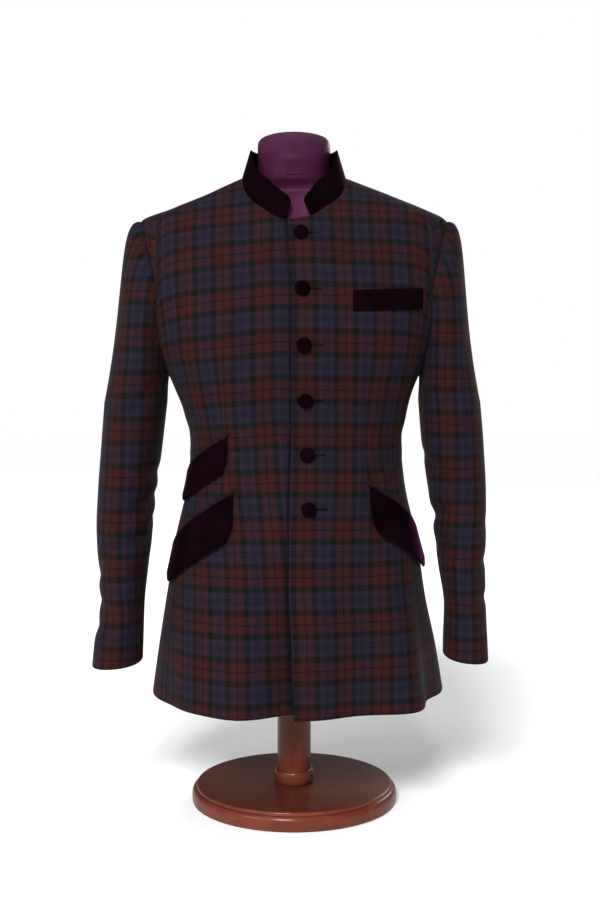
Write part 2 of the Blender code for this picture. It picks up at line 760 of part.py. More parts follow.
def button_mesh():
    """A covered button: a turned profile from its edge to its domed top, flat behind."""
    guide = bpy.data.meshes.new("button_profile")
    radius, depth = BUTTON_RADIUS, BUTTON_DEPTH
    profile = [
        (0.0, depth),
        (radius * 0.55, depth * 0.93),
        (radius * 0.86, depth * 0.72),
        (radius, depth * 0.42),
        (radius * 0.95, depth * 0.14),
        (radius * 0.80, 0.0),
        (0.0, 0.0),
    ]
    edges = [(i, i + 1) for i in range(len(profile) - 1)]
    guide.from_pydata([(x, 0.0, z) for x, z in profile], edges, [])
    return guide


def turned(name, mesh, steps, collection, paint):
    """Turns a profile about its own Z axis."""
    mesh.materials.append(paint)
    made = bpy.data.objects.new(name, mesh)
    collection.objects.link(made)
    screw = made.modifiers.new("turned", "SCREW")
    screw.steps = screw.render_steps = steps
    screw.use_merge_vertices = True
    screw.merge_threshold = 0.00005
    screw.use_smooth_shade = True
    return made


def buttons(collection):
    mesh = button_mesh()
    for i in range(BUTTONS):
        height = BUTTON_TOP - BUTTON_PITCH * i
        across = BUTTON_ACROSS + BUTTON_DRIFT * i
        _, foot = front_at(across, height, "left")
        normal = Vector(body_normal(foot))
        made = turned(f"button_{i + 1}", mesh if i == 0 else mesh.copy(), 14, collection, velvet())
        made.location = Vector(foot) + normal * (LAP_LIFT + ON_TOP)
        made.rotation_euler = normal.to_track_quat("Z", "Y").to_euler()


def form_section(height):
    """Half-width, front, back, widest and power of the dress form at one height."""
    raised = min(height + FORM_DROP * ease(height, 0.78, 0.86), NECK_SIDE)
    size = section(round(raised, 7))
    inset = FORM_INSET + (0.0060 - FORM_INSET) * ease(height, 0.70, 0.82)
    inset += 0.010 * (1 - ease(height, FORM_BOTTOM, 0.45))
    reach = size["half_width"] - inset
    arm_end = FORM_ARM_END + 0.2 * ease(height, 0.842, 0.868)
    half_width = min(reach, arm_end)
    neck = ease(height, 0.900, 0.924)
    return (
        half_width + (NECK_HALF_WIDTH - half_width) * neck,
        max(size["front"] - inset, 0.0) * (1 - neck) + NECK_HALF_DEPTH * neck,
        (size["back"] - inset) * (1 - neck) + (NECK_HALF_DEPTH - 0.006) * neck,
        size["widest"] * 0.5,
        size["square"] + 0.5 * ease(height, 0.66, 0.72) * (1 - ease(height, 0.83, 0.862)),
        size["sway"],
    )


def dress_form(collection):
    """The limbless form: a torso cut flat at the arms, and a neck with a sloping cap."""
    columns = 32
    heights = [FORM_BOTTOM, 0.36, 0.42, 0.475, 0.53, 0.585, 0.63, 0.67, 0.71, 0.75, 0.79, 0.82, 0.842]
    heights += [0.854, 0.866, 0.878, 0.890, 0.902, 0.912, 0.922, 0.934, 0.948]
    rings = []
    for height in heights:
        half_width, front, back, widest, power, sway = form_section(height)
        ring = []
        for c in range(columns):
            turn = 2 * math.pi * c / columns
            depth = front + widest if math.cos(turn) > 0 else back - widest
            x = sway + half_width * signed_power(math.sin(turn), 2 / power)
            y = widest - depth * signed_power(math.cos(turn), 2 / power)
            tilt = NECK_CAP_SLOPE * ease(height, 0.915, 0.950)
            ring.append((x, y, height + tilt * y * ease(height, 0.915, 0.950)))
        rings.append(ring)
    cap = ((1.0, -0.008), (0.97, -0.002), (0.90, 0.002), (0.55, 0.006))
    for size, rise in cap:
        ring = []
        for c in range(columns):
            turn = 2 * math.pi * c / columns
            depth = NECK_HALF_DEPTH if math.cos(turn) > 0 else NECK_HALF_DEPTH - 0.006
            x, y = NECK_HALF_WIDTH * size * math.sin(turn), -depth * size * math.cos(turn)
            ring.append((x, y, NECK_CAP_HEIGHT + rise + NECK_CAP_SLOPE * y))
        rings.append(ring)
    points = [p for ring in rings for p in ring] + [(0.0, 0.0, NECK_CAP_HEIGHT + 0.0075)]
    faces = [tuple(reversed(range(columns)))]
    for r in range(len(rings) - 1):
        for c in range(columns):
            here, there = r * columns + c, r * columns + (c + 1) % columns
            faces.append((here, there, there + columns, here + columns))
    top = (len(rings) - 1) * columns
    faces += [(top + c, top + (c + 1) % columns, len(points) - 1) for c in range(columns)]
    mesh = bpy.data.meshes.new("dress_form")
    mesh.from_pydata(points, [], faces)
    mesh.validate()
    turn_outward(mesh)
    add_object("dress_form", mesh, collection, form_cover())


def stand(collection):
    """The round foot with a moulded edge, the ring at the post's foot, and the post."""
    r, h = FOOT_RADIUS, FOOT_HEIGHT
    foot = [
        (0.0, h),
        (r - 0.0075, h),
        (r - 0.0060, h - 0.0012),
        (r - 0.0055, h - 0.0040),
        (r - 0.0030, h - 0.0050),
        (r - 0.0008, h - 0.0085),
        (r, h - 0.0140),
        (r - 0.0006, 0.0025),
        (r - 0.0030, 0.0),
        (0.0, 0.0),
    ]
    ring_foot = h + 0.0003
    hole = POST_RADIUS + 0.0003
    ring = [
        (hole, ring_foot + RING_HEIGHT),
        (POST_RADIUS + 0.0022, ring_foot + RING_HEIGHT),
        (RING_RADIUS - 0.0012, ring_foot + RING_HEIGHT * 0.78),
        (RING_RADIUS, ring_foot + RING_HEIGHT * 0.50),
        (RING_RADIUS - 0.0012, ring_foot + RING_HEIGHT * 0.20),
        (RING_RADIUS - 0.0035, ring_foot),
        (hole, ring_foot),
        (hole, ring_foot + RING_HEIGHT),
    ]
    post = [
        (0.0, FORM_BOTTOM - 0.0004),
        (POST_RADIUS, FORM_BOTTOM - 0.0004),
        (POST_RADIUS, ring_foot),
        (0.0, ring_foot),
    ]
    for name, profile, steps in (("foot", foot, 48), ("post_ring", ring, 28), ("post", post, 28)):
        mesh = bpy.data.meshes.new(name)
        edges = [(i, i + 1) for i in range(len(profile) - 1)]
        mesh.from_pydata([(x, 0.0, z) for x, z in profile], edges, [])
        turned(name, mesh, steps, collection, wood())


def main():
    for old in list(bpy.data.objects):
        bpy.data.objects.remove(old)
    collection = bpy.data.collections.new("nehru_jacket_on_dress_form")
    bpy.context.scene.collection.children.link(collection)

    left_front = lap_lift(panel_grid("left", True, EDGE_LINE))
    right_front = panel_grid("right", True, lambda height: UNDERLAP_EDGE)
    left_back = panel_grid("left", False, lambda height: centre_back(height) + SEAM)
    right_back = panel_grid("right", False, lambda height: centre_back(height) - SEAM)
    body_panel("left_front", left_front, collection, WAIST_ROW)
    body_panel("right_front", right_front, collection, WAIST_ROW)
    body_panel("left_back", left_back, collection, WAIST_ROW)
    body_panel("right_back", right_back, collection, WAIST_ROW)
    for hand in ("left", "right"):
        body_panel(hand + "_side_panel", side_panel_grid(hand), collection)
        sleeve(hand, collection)
    collar(collection)
    pockets(collection)
    buttons(collection)
    dress_form(collection)
    stand(collection)


main()
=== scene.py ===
import functools
import itertools
import math

import bpy
import numpy as np
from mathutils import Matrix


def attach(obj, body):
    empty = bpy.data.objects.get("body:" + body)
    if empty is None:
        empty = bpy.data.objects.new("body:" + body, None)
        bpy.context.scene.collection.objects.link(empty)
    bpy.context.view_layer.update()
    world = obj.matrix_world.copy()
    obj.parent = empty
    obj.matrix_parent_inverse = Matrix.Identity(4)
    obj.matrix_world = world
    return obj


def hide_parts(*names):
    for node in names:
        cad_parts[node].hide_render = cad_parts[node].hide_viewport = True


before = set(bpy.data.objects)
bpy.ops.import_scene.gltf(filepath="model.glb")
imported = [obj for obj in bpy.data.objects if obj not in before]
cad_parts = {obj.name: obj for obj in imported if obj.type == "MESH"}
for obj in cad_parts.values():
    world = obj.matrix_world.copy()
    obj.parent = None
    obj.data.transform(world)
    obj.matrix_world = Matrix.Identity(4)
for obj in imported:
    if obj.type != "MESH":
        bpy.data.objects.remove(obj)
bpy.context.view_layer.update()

# The foot: a thick disc of beech, turned with a bead and a quirk round its upper edge,
# stained red-brown and varnished. The post is glued and screwed into its middle.

FOOT_RADIUS = 0.1535
FOOT_HEIGHT = 0.027
GAP = 0.0003
GRAIN_STRETCH = 0.07

# Outline of the foot's edge: out from its radius, and height.
FOOT_PROFILE = (
    (-0.0030, 0.0000),
    (-0.0008, 0.0010),
    (-0.0002, 0.0030),
    (0.0000, 0.0125),
    (-0.0004, 0.0160),
    (-0.0016, 0.0190),
    (-0.0034, 0.0210),
    (-0.0052, 0.0220),
    (-0.0066, 0.0222),
    (-0.0070, 0.0232),
    (-0.0068, 0.0246),
    (-0.0072, 0.0260),
    (-0.0082, 0.0268),
    (-0.0100, 0.0270),
    (-0.0500, 0.0270),
)


def deselect_all():
    bpy.ops.object.select_all(action="DESELECT")


def turned_piece(name, profile, steps, closed=False):
    """A turned piece: a circle extruded and scaled along a profile of radius and height."""
    deselect_all()
    first_radius, first_height = profile[0]
    fill = "NOTHING" if closed else "NGON"
    bpy.ops.mesh.primitive_circle_add(
        vertices=steps, radius=first_radius, fill_type=fill, location=(0, 0, first_height)
    )
    piece = bpy.context.active_object
    piece.name = piece.data.name = name
    bpy.ops.object.mode_set(mode="EDIT")
    bpy.ops.mesh.select_all(action="SELECT")
    for (radius, height), (wider, higher) in zip(profile, profile[1:] + profile[:1] * closed):
        move = {"value": (0, 0, higher - height)}
        if closed:
            bpy.ops.mesh.extrude_edges_move(TRANSFORM_OT_translate=move)
        else:
            bpy.ops.mesh.extrude_region_move(TRANSFORM_OT_translate=move)
        bpy.ops.transform.resize(value=(wider / radius, wider / radius, 1))
    bpy.ops.mesh.select_all(action="SELECT")
    bpy.ops.mesh.remove_doubles(threshold=0.00002)
    bpy.ops.mesh.normals_make_consistent(inside=False)
    bpy.ops.object.mode_set(mode="OBJECT")
    bpy.ops.object.transform_apply(location=True, rotation=True, scale=True)
    bpy.ops.object.shade_smooth_by_angle(angle=math.radians(38))
    return piece


class Wire:
    """A socket of a shader that takes Python's own arithmetic."""

    def __init__(self, shader, socket):
        self.shader, self.socket = shader, socket

    def maths(self, operation, *others):
        return self.shader.node("ShaderNodeMath", {"operation": operation}, [self, *others])

    def __add__(self, other):
        return self.maths("ADD", other)

    def __sub__(self, other):
        return self.maths("SUBTRACT", other)

    def __rsub__(self, other):
        return self.shader.node("ShaderNodeMath", {"operation": "SUBTRACT"}, [other, self])

    def __mul__(self, other):
        return self.maths("MULTIPLY", other)

    def __truediv__(self, other):
        return self.maths("DIVIDE", other)

    def __rtruediv__(self, other):
        return self.shader.node("ShaderNodeMath", {"operation": "DIVIDE"}, [other, self])

    __radd__, __rmul__ = __add__, __mul__


class Finish:
    """A material whose nodes are made by one method."""

    def __init__(self, name):
        self.material = bpy.data.materials.new(name)
        self.material.use_nodes = True
        self.tree = self.material.node_tree
        self.tree.nodes.clear()

    def node(self, kind, settings=None, inputs=(), output=0):
        """Adds a node, sets its settings, feeds its inputs and gives one of its outputs."""
        made = self.tree.nodes.new(kind)
        for name, value in (settings or {}).items():
            if name == "stops":
                self.set_stops(made.color_ramp.elements, value)
            else:
                setattr(made, name, value)
        pairs = inputs.items() if isinstance(inputs, dict) else enumerate(inputs)
        for key, value in pairs:
            if isinstance(value, Wire):
                self.tree.links.new(value.socket, made.inputs[key])
            else:
                made.inputs[key].default_value = value
        return Wire(self, made.outputs[output]) if len(made.outputs) else None

    def set_stops(self, elements, stops):
        """Gives a colour ramp its stops of place and colour."""
        elements.remove(elements[-1])
        elements[0].position = stops[0][0]
        elements[0].color = (*stops[0][1], 1)
        for position, colour in stops[1:]:
            elements.new(position).color = (*colour, 1)

    def ramp(self, factor, *stops):
        return self.node("ShaderNodeValToRGB", {"stops": stops}, [factor])

    def place(self, scale=(1, 1, 1)):
        """Where a point of the piece lies, with each axis stretched by its scale."""
        where = self.node("ShaderNodeTexCoord", output="Object")
        return self.node("ShaderNodeMapping", None, {"Vector": where, "Scale": scale})

    def noise(self, where, scale, detail, roughness=0.5, distortion=0.0):
        inputs = {"Vector": where, "Scale": scale, "Detail": detail, "Roughness": roughness}
        return self.node("ShaderNodeTexNoise", None, {**inputs, "Distortion": distortion})

    def blend(self, factor, one, other):
        """Mixes two colours."""
        one, other = [c if isinstance(c, Wire) else (*c, 1) for c in (one, other)]
        return self.node("ShaderNodeMix", {"data_type": "RGBA"}, {0: factor, 6: one, 7: other}, output=2)

    def bump(self, height, distance, strength):
        inputs = {"Height": height, "Distance": distance, "Strength": strength}
        return self.node("ShaderNodeBump", None, inputs)

    def surface(self, **inputs):
        """Ends the material in a Principled shader. Underscores stand for spaces."""
        named = {name.replace("_", " "): value for name, value in inputs.items()}
        shader = self.node("ShaderNodeBsdfPrincipled", None, named)
        self.node("ShaderNodeOutputMaterial", None, {"Surface": shader})
        return self.material


def dress(piece, finish, slot, *nodes):
    """Gives a piece its finish, lets it ride with the part's one body and take its solids' place."""
    piece.data.materials.clear()
    piece.data.materials.append(finish)
    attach(piece, "root")
    if nodes:
        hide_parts(*nodes)


def stained_beech(name, along):
    """Red-brown stained beech under varnish, its grain along one axis, with painted shade darkening the faces
    that look up.
    """
    finish = Finish(name)
    stretch = [1.0, 1.0, 1.0]
    stretch[along] = GRAIN_STRETCH
    where = finish.place(scale=stretch)
    broad = finish.noise(where, 26.0, 5.0, 0.55, 0.9)
    fine = finish.noise(where, 240.0, 3.0, 0.6, 0.3)
    pores = finish.noise(where, 900.0, 2.0, 0.5)
    grain = broad * 0.7 + fine * 0.3
    stain = finish.ramp(
        grain,
        (0.30, (0.052, 0.0095, 0.0048)),
        (0.50, (0.108, 0.0215, 0.0095)),
        (0.70, (0.175, 0.0390, 0.0165)),
    )
    worn = finish.noise(finish.place(), 9.0, 2.0)
    handled = finish.blend(worn * 0.35, stain, (0.150, 0.0300, 0.0150))
    # Painted shade: faces that look up are darkened, as the foot's top lies in the jacket's shadow.
    outward = finish.node("ShaderNodeNewGeometry", output=1)
    upward = finish.node("ShaderNodeSeparateXYZ", None, [outward], output=2)
    painted_top_shade = finish.node("ShaderNodeMath", {"operation": "POWER", "use_clamp": True}, [upward, 4.0])
    colour = finish.blend(painted_top_shade * 0.62, handled, (0.034, 0.0060, 0.0034))
    height = grain * 0.6 + pores * 0.4
    return finish.surface(
        Base_Color=colour,
        Roughness=0.34 + fine * 0.22,
        Specular_IOR_Level=0.12,
        Coat_Weight=0.22,
        Coat_Roughness=0.10,
        Normal=finish.bump(height, 0.00025, 0.35),
    )


beech_across = stained_beech("stained_beech_across", 0)
beech_upright = stained_beech("stained_beech_upright", 2)

foot = turned_piece("turned_foot", [(FOOT_RADIUS + out, up) for out, up in FOOT_PROFILE], 192)
dress(foot, beech_across, "red_brown_wood", "foot")

# The post and its ring: a plain turned beech pole, and a half-round bead slid over its lower
# end that hides the joint with the foot.

POST_RADIUS = 0.025
POST_CHAMFER = 0.0010
RING_RADIUS = 0.0297
RING_HEIGHT = 0.0205
FORM_BOTTOM = 0.305
POST_GAP = 0.0004

# Outline of the ring: shares of its width and of its height.
RING_PROFILE = (
    (0.0, 0.00),
    (0.55, 0.01),
    (0.85, 0.10),
    (0.98, 0.28),
    (1.00, 0.50),
    (0.95, 0.70),
    (0.78, 0.86),
    (0.45, 0.97),
    (0.20, 1.00),
    (0.0, 1.00),
)

ring_hole = POST_RADIUS + GAP
ring_foot = FOOT_HEIGHT + GAP
ring_width = RING_RADIUS - ring_hole
ring_profile = [(ring_hole + ring_width * out, ring_foot + RING_HEIGHT * up) for out, up in RING_PROFILE]
ring = turned_piece("post_foot_ring", ring_profile, 96, closed=True)
dress(ring, beech_across, "red_brown_wood", "post_ring")

post_top = FORM_BOTTOM - POST_GAP
post_profile = [
    (POST_RADIUS - POST_CHAMFER, ring_foot),
    (POST_RADIUS, ring_foot + POST_CHAMFER),
    (POST_RADIUS, 0.12),
    (POST_RADIUS, 0.21),
    (POST_RADIUS, post_top - POST_CHAMFER),
    (POST_RADIUS - POST_CHAMFER, post_top),
]
post = turned_piece("turned_post", post_profile, 96)
dress(post, beech_upright, "red_brown_wood", "post")

# The dress form: a limbless torso cut flat at the arms, with a neck that ends in a cap that
# slopes forward. A smooth plum satin cover is stretched and glued over the whole shell.

HEM = 0.1635
SHOULDER_TIP = 0.862
NECK_SIDE = 0.925
FORM_INSET = 0.0065
FORM_INSET_AT_CHEST = 0.0060
FORM_TUCKED_IN_BELOW = 0.010
FORM_DROP = 0.0038
FORM_ARM_END = 0.176
FORM_STEPS = 128
NECK_HALF_WIDTH = 0.0525
NECK_HALF_DEPTH = 0.0530
NECK_HALF_DEPTH_BEHIND = 0.0470
NECK_CAP_SLOPE = 0.42
NECK_CAP_HEIGHT = 0.976
NECK_CAP_CENTRE = 0.0075

# Heights between which the form changes: its shoulders drop, it fills the chest, it is tucked
# in, its flat arm cuts begin and end, its shoulders begin, its neck begins, and the neck's
# rings start to slope.
FORM_DROPS = (0.78, 0.86)
FORM_FILLS = (0.70, 0.82)
FORM_TUCKED_IN = (FORM_BOTTOM, 0.45)
ARM_CUT_BEGINS = (0.66, 0.72)
ARM_CUT_ENDS = (0.83, 0.862)
SHOULDERS_BEGIN = (0.842, 0.868)
NECK_BEGINS = (0.900, 0.924)
NECK_SLOPES = (0.915, 0.950)

# Outline of the neck's cap: share of the neck's width, and rise over the cap's height.
CAP_PROFILE = (
    (1.000, -0.0080),
    (0.998, -0.0045),
    (0.990, -0.0020),
    (0.975, 0.0000),
    (0.950, 0.0014),
    (0.900, 0.0025),
    (0.780, 0.0040),
    (0.600, 0.0054),
    (0.400, 0.0066),
    (0.200, 0.0073),
)
BODY_COLUMNS = ("height", "half_width", "front", "back", "widest", "square", "sway")
BODY = (
    (0.150, 0.2210, 0.165, 0.162, 0.022, 2.25, 0.006),
    (0.230, 0.2085, 0.154, 0.154, 0.020, 2.30, 0.005),
    (0.313, 0.1930, 0.143, 0.146, 0.015, 2.35, 0.003),
    (0.397, 0.1795, 0.132, 0.138, 0.010, 2.35, 0.003),
    (0.481, 0.1605, 0.120, 0.123, 0.005, 2.30, 0.003),
    (0.533, 0.1555, 0.116, 0.112, 0.003, 2.30, 0.003),
    (0.585, 0.1635, 0.121, 0.112, 0.000, 2.30, 0.002),
    (0.626, 0.1770, 0.127, 0.117, 0.000, 2.35, 0.000),
    (0.660, 0.1930, 0.131, 0.120, 0.000, 2.40, 0.000),
    (0.700, 0.2140, 0.131, 0.122, 0.000, 2.40, 0.000),
    (0.740, 0.2285, 0.126, 0.122, 0.000, 2.40, 0.000),
    (0.780, 0.2310, 0.117, 0.119, 0.000, 2.35, 0.000),
    (0.820, 0.2280, 0.104, 0.112, 0.000, 2.25, 0.000),
    (0.845, 0.2245, 0.092, 0.104, 0.000, 2.10, 0.000),
    (0.862, 0.2220, 0.081, 0.097, 0.000, 2.00, 0.000),
    (0.882, 0.1800, 0.068, 0.087, 0.000, 2.00, 0.005),
    (0.899, 0.1375, 0.056, 0.077, 0.000, 2.00, 0.005),
    (0.914, 0.1015, 0.043, 0.067, 0.000, 2.00, 0.002),
    (0.925, 0.0745, 0.031, 0.058, 0.000, 2.00, 0.000),
)


def smooth_line(places, values):
    """A smooth function through the given values that doesn't overshoot between them."""
    places, values = np.asarray(places, float), np.asarray(values, float)
    steps = np.diff(places)
    slopes = np.diff(values) / steps
    tangents = np.zeros_like(values)
    for i in range(1, len(values) - 1):
        before, after = slopes[i - 1], slopes[i]
        if before * after > 0:
            tangents[i] = 2 * before * after / (before + after)
    tangents[0], tangents[-1] = slopes[0], slopes[-1]

    def at(place):
        place = np.clip(place, places[0], places[-1])
        k = np.clip(np.searchsorted(places, place, side="right") - 1, 0, len(steps) - 1)
        t = (place - places[k]) / steps[k]
        start = (1 + 2 * t) * (1 - t) ** 2 * values[k] + t * (1 - t) ** 2 * steps[k] * tangents[k]
        end = t * t * (3 - 2 * t) * values[k + 1] + t * t * (t - 1) * steps[k] * tangents[k + 1]
        return start + end

    return at


def table_lines(columns, rows):
    """One smooth function of the first column for each of the other columns."""
    places = [row[0] for row in rows]
    return {name: smooth_line(places, [row[i] for row in rows]) for i, name in enumerate(columns) if i}


def read_lines(lines, place):
    """The values of named lines at one place or at many."""
    return {name: line(place) for name, line in lines.items()}


BODY_LINES = table_lines(BODY_COLUMNS, BODY)


def section(height):
    """The named sizes of the body's section at one height or at many."""
    return read_lines(BODY_LINES, height)


def ease(value, start, end):
    """0 before start, 1 after end, and a smooth step between them."""
    t = np.clip((value - start) / (end - start), 0.0, 1.0)
    return t * t * (3 - 2 * t)


def joined(*coordinates):
    """Points from their coordinates, given as arrays or numbers."""
    return np.stack(np.broadcast_arrays(*coordinates), axis=-1)


def signed_power(value, power):
    return np.sign(value) * np.abs(value) ** power


def mesh_piece(name, points, faces, uv=None):
    """A smooth mesh from arrays, turned so that its faces point out if it is closed."""
    mesh = bpy.data.meshes.new(name)
    mesh.from_pydata([tuple(p) for p in points], [], faces)
    mesh.calc_loop_triangles()
    count = len(mesh.loop_triangles)
    corners = np.empty(count * 3, dtype=np.int32)
    mesh.loop_triangles.foreach_get("vertices", corners)
    corners = np.asarray(points)[corners].reshape(count, 3, 3)
    if np.linalg.det(corners).sum() < 0:
        mesh.flip_normals()
    if uv is not None:
        layer = mesh.uv_layers.new(name="cloth")
        vertex = np.empty(len(mesh.loops), dtype=np.int32)
        mesh.loops.foreach_get("vertex_index", vertex)
        layer.data.foreach_set("uv", np.asarray(uv, dtype=np.float32)[vertex].ravel())
    mesh.shade_smooth()
    piece = bpy.data.objects.new(name, mesh)
    bpy.context.scene.collection.objects.link(piece)
    return piece


def form_ring(height, turn):
    """Points round the form at one height."""
    raised = min(height + FORM_DROP * ease(height, *FORM_DROPS), NECK_SIDE)
    size = section(raised)
    inset = FORM_INSET + (FORM_INSET_AT_CHEST - FORM_INSET) * ease(height, *FORM_FILLS)
    inset += FORM_TUCKED_IN_BELOW * (1 - ease(height, *FORM_TUCKED_IN))
    arm_cut = FORM_ARM_END + 0.2 * ease(height, *SHOULDERS_BEGIN)
    half_width = min(size["half_width"] - inset, arm_cut)
    neck = ease(height, *NECK_BEGINS)
    half_width = half_width + (NECK_HALF_WIDTH - half_width) * neck
    front = (size["front"] - inset) * (1 - neck) + NECK_HALF_DEPTH * neck
    back = (size["back"] - inset) * (1 - neck) + NECK_HALF_DEPTH_BEHIND * neck
    widest = size["widest"] * 0.5
    power = size["square"] + 0.5 * ease(height, *ARM_CUT_BEGINS) * (1 - ease(height, *ARM_CUT_ENDS))
    depth = np.where(np.cos(turn) > 0, front + widest, back - widest)
    x = size["sway"] + half_width * signed_power(np.sin(turn), 2 / power)
    y = widest - depth * signed_power(np.cos(turn), 2 / power)
    tilt = ease(height, *NECK_SLOPES)
    return joined(x, y, height + NECK_CAP_SLOPE * y * tilt * tilt)


def tube_faces(rings, steps):
    faces = []
    for r in range(rings - 1):
        for c in range(steps):
            here, there = r * steps + c, r * steps + (c + 1) % steps
            faces.append((here, there, there + steps, here + steps))
    return faces


form_turn = np.linspace(0, 2 * math.pi, FORM_STEPS, endpoint=False)
form_heights = [*np.linspace(FORM_BOTTOM + 0.004, 0.84, 60), *np.linspace(0.844, 0.948, 46)]
form_rings = [form_ring(FORM_BOTTOM, form_turn) * (0.97, 0.97, 1)]
form_rings += [form_ring(height, form_turn) for height in form_heights]
cap_depth = np.where(np.cos(form_turn) > 0, NECK_HALF_DEPTH, NECK_HALF_DEPTH_BEHIND)
for size, rise in CAP_PROFILE:
    cap_x = NECK_HALF_WIDTH * size * np.sin(form_turn)
    cap_y = -cap_depth * size * np.cos(form_turn)
    form_rings.append(joined(cap_x, cap_y, NECK_CAP_HEIGHT + rise + NECK_CAP_SLOPE * cap_y))
form_points = np.concatenate(form_rings + [np.array([[0.0, 0.0, NECK_CAP_HEIGHT + NECK_CAP_CENTRE]])])
form_faces = [tuple(reversed(range(FORM_STEPS)))] + tube_faces(len(form_rings), FORM_STEPS)
last_ring = (len(form_rings) - 1) * FORM_STEPS
for c in range(FORM_STEPS):
    form_faces.append((last_ring + c, last_ring + (c + 1) % FORM_STEPS, len(form_points) - 1))
form = mesh_piece("covered_dress_form", form_points, form_faces)
form.data.set_sharp_from_angle(angle=math.radians(60))


def stretched_satin(name):
    """Plum satin whose fine threads run round the form and catch the light unevenly."""
    satin = Finish(name)
    soft = satin.noise(satin.place(), 14.0, 3.0)
    threads = satin.noise(satin.place(scale=(1, 1, 12)), 700.0, 2.0)
    colour = satin.ramp(
        soft,
        (0.30, (0.032, 0.0060, 0.0200)),
        (0.55, (0.062, 0.0115, 0.0400)),
        (0.75, (0.098, 0.0210, 0.0680)),
    )
    return satin.surface(
        Base_Color=colour,
        Roughness=0.30 + threads * 0.16,
        Specular_IOR_Level=0.05,
        Sheen_Weight=0.01,
        Sheen_Roughness=0.35,
        Sheen_Tint=(0.60, 0.25, 0.55, 1),
        Normal=satin.bump(threads + soft * 2.0, 0.0004, 0.30),
    )


dress(form, stretched_satin("plum_satin"), "form_cover", "dress_form")

# The body of the jacket: two fronts, two side panels and two backs, cut from one checked
# wool twill, sewn with pressed-open seams and waisted by a long dart in each front. The left
# front laps over the right and both hang free below the last button.

CLOTH = 0.0022
SEAM = 0.0001
NECK_FRONT = 0.861
NECK_BACK = 0.920
LAP_LIFT = 0.0030
LAP_FLAT_TO = 0.036
LAP_GONE_AT = 0.075
UNDERLAP_EDGE = 0.033
ARMHOLE_MIDDLE = 0.751
ARMHOLE_HALF_HEIGHT = SHOULDER_TIP - ARMHOLE_MIDDLE
ARMHOLE_FRONT = 0.078
ARMHOLE_BACK = 0.082
ARMHOLE_STRAIGHTER = 0.40
SIDE_PANEL_FROM = math.radians(140)
SIDE_PANEL_TO = math.radians(220)
FRONT_SEAM_AT_HEM = 0.38
BACK_SEAM_AT_HEM = 0.60

# Folds of the skirt on each hand: share of the half girth where one lies and how far it
# spreads, the height where it starts, and how far out it stands at the hem.
FOLDS = {
    "right": (
        (0.00, 0.085, 0.42, -0.036),
        (0.14, 0.070, 0.44, 0.009),
        (0.36, 0.070, 0.40, -0.008),
        (0.66, 0.080, 0.42, 0.009),
        (0.82, 0.080, 0.44, -0.010),
    ),
    "left": (
        (0.15, 0.090, 0.46, -0.017),
        (0.29, 0.060, 0.46, 0.010),
        (0.40, 0.070, 0.42, -0.016),
        (0.66, 0.080, 0.42, 0.009),
        (0.82, 0.080, 0.44, -0.010),
    ),
}
FRONT_EDGE = smooth_line(
    (0.150, 0.283, 0.340, 0.470, 0.595, 0.753, 0.862),
    (0.001, -0.005, -0.008, -0.007, -0.004, -0.004, -0.010),
)
FRONT_NECK_LINE = smooth_line(
    (0.0, 0.022, 0.0435, 0.0645, 0.0713, 0.0745),
    (0.861, 0.8655, 0.879, 0.896, 0.909, 0.925),
)
BACK_NECK_LINE = smooth_line((0.0, 0.030, 0.058, 0.0745), (0.920, 0.9205, 0.9225, 0.925))
WIDEST_FRONT = 0.229
STRAIGHT_FROM = 0.130
SHOULDER_SPREAD = 1.06
PANEL_WIDTH = 0.19
SIDE_PANEL_WIDTH = 0.11
TURN_STEPS = 1440
LEFT_HALF = slice(TURN_STEPS // 2, None)
FRONT_HALF = slice(TURN_STEPS // 4, 3 * TURN_STEPS // 4 + 1)
ROWS_UP = 96
LEAST_FLAT_LENGTH = 0.010
EDGE_STEPS = np.array([0.0, 0.0005, 0.0011, 0.0020])
EDGE_ROLL = 0.0020
EDGE_DROP = 0.0011
SEAM_DROP = 0.0006
# Widths of the painted shade along seams, along the left front's edge and beside the lap, and how far it
# reaches past the lap's edge.
SEAM_SHADE = 0.0022
EDGE_SHADE = 0.0015
LAP_SHADE = 0.0028
LAP_SHADE_PAST_EDGE = 0.004
NORMAL_STEP = 0.0002

# How far the cloth's threads stray on each front as it hangs: towards the wearer's left, and
# down at the middle and at the side.
DRIFT_COLUMNS = ("height", "sideways", "down_middle", "down_side")
DRIFT = {
    "right": (
        (0.163, 0.0225, 0.0040, 0.0050),
        (0.330, 0.0195, 0.0040, 0.0085),
        (0.437, 0.0125, 0.0030, 0.0080),
        (0.493, 0.0070, 0.0025, 0.0100),
        (0.548, 0.0040, 0.0000, 0.0120),
        (0.603, 0.0012, 0.0000, 0.0140),
        (0.740, 0.0010, 0.0000, 0.0150),
        (0.880, -0.0020, 0.0000, 0.0150),
    ),
    "left": (
        (0.163, 0.0028, 0.0030, 0.0040),
        (0.270, 0.0014, 0.0030, 0.0045),
        (0.354, -0.0028, 0.0030, 0.0055),
        (0.437, -0.0020, 0.0025, 0.0060),
        (0.493, 0.0005, 0.0020, 0.0060),
        (0.742, 0.0000, 0.0000, 0.0040),
        (0.798, -0.0028, 0.0000, 0.0040),
        (0.880, -0.0064, 0.0000, 0.0000),
    ),
}
DRIFT_LINES = {hand: table_lines(DRIFT_COLUMNS, rows) for hand, rows in DRIFT.items()}
DRIFT_MIDDLE_TO = 0.03
DRIFT_SIDE_PAST = 0.13
DRIFT_MOST = 1.2

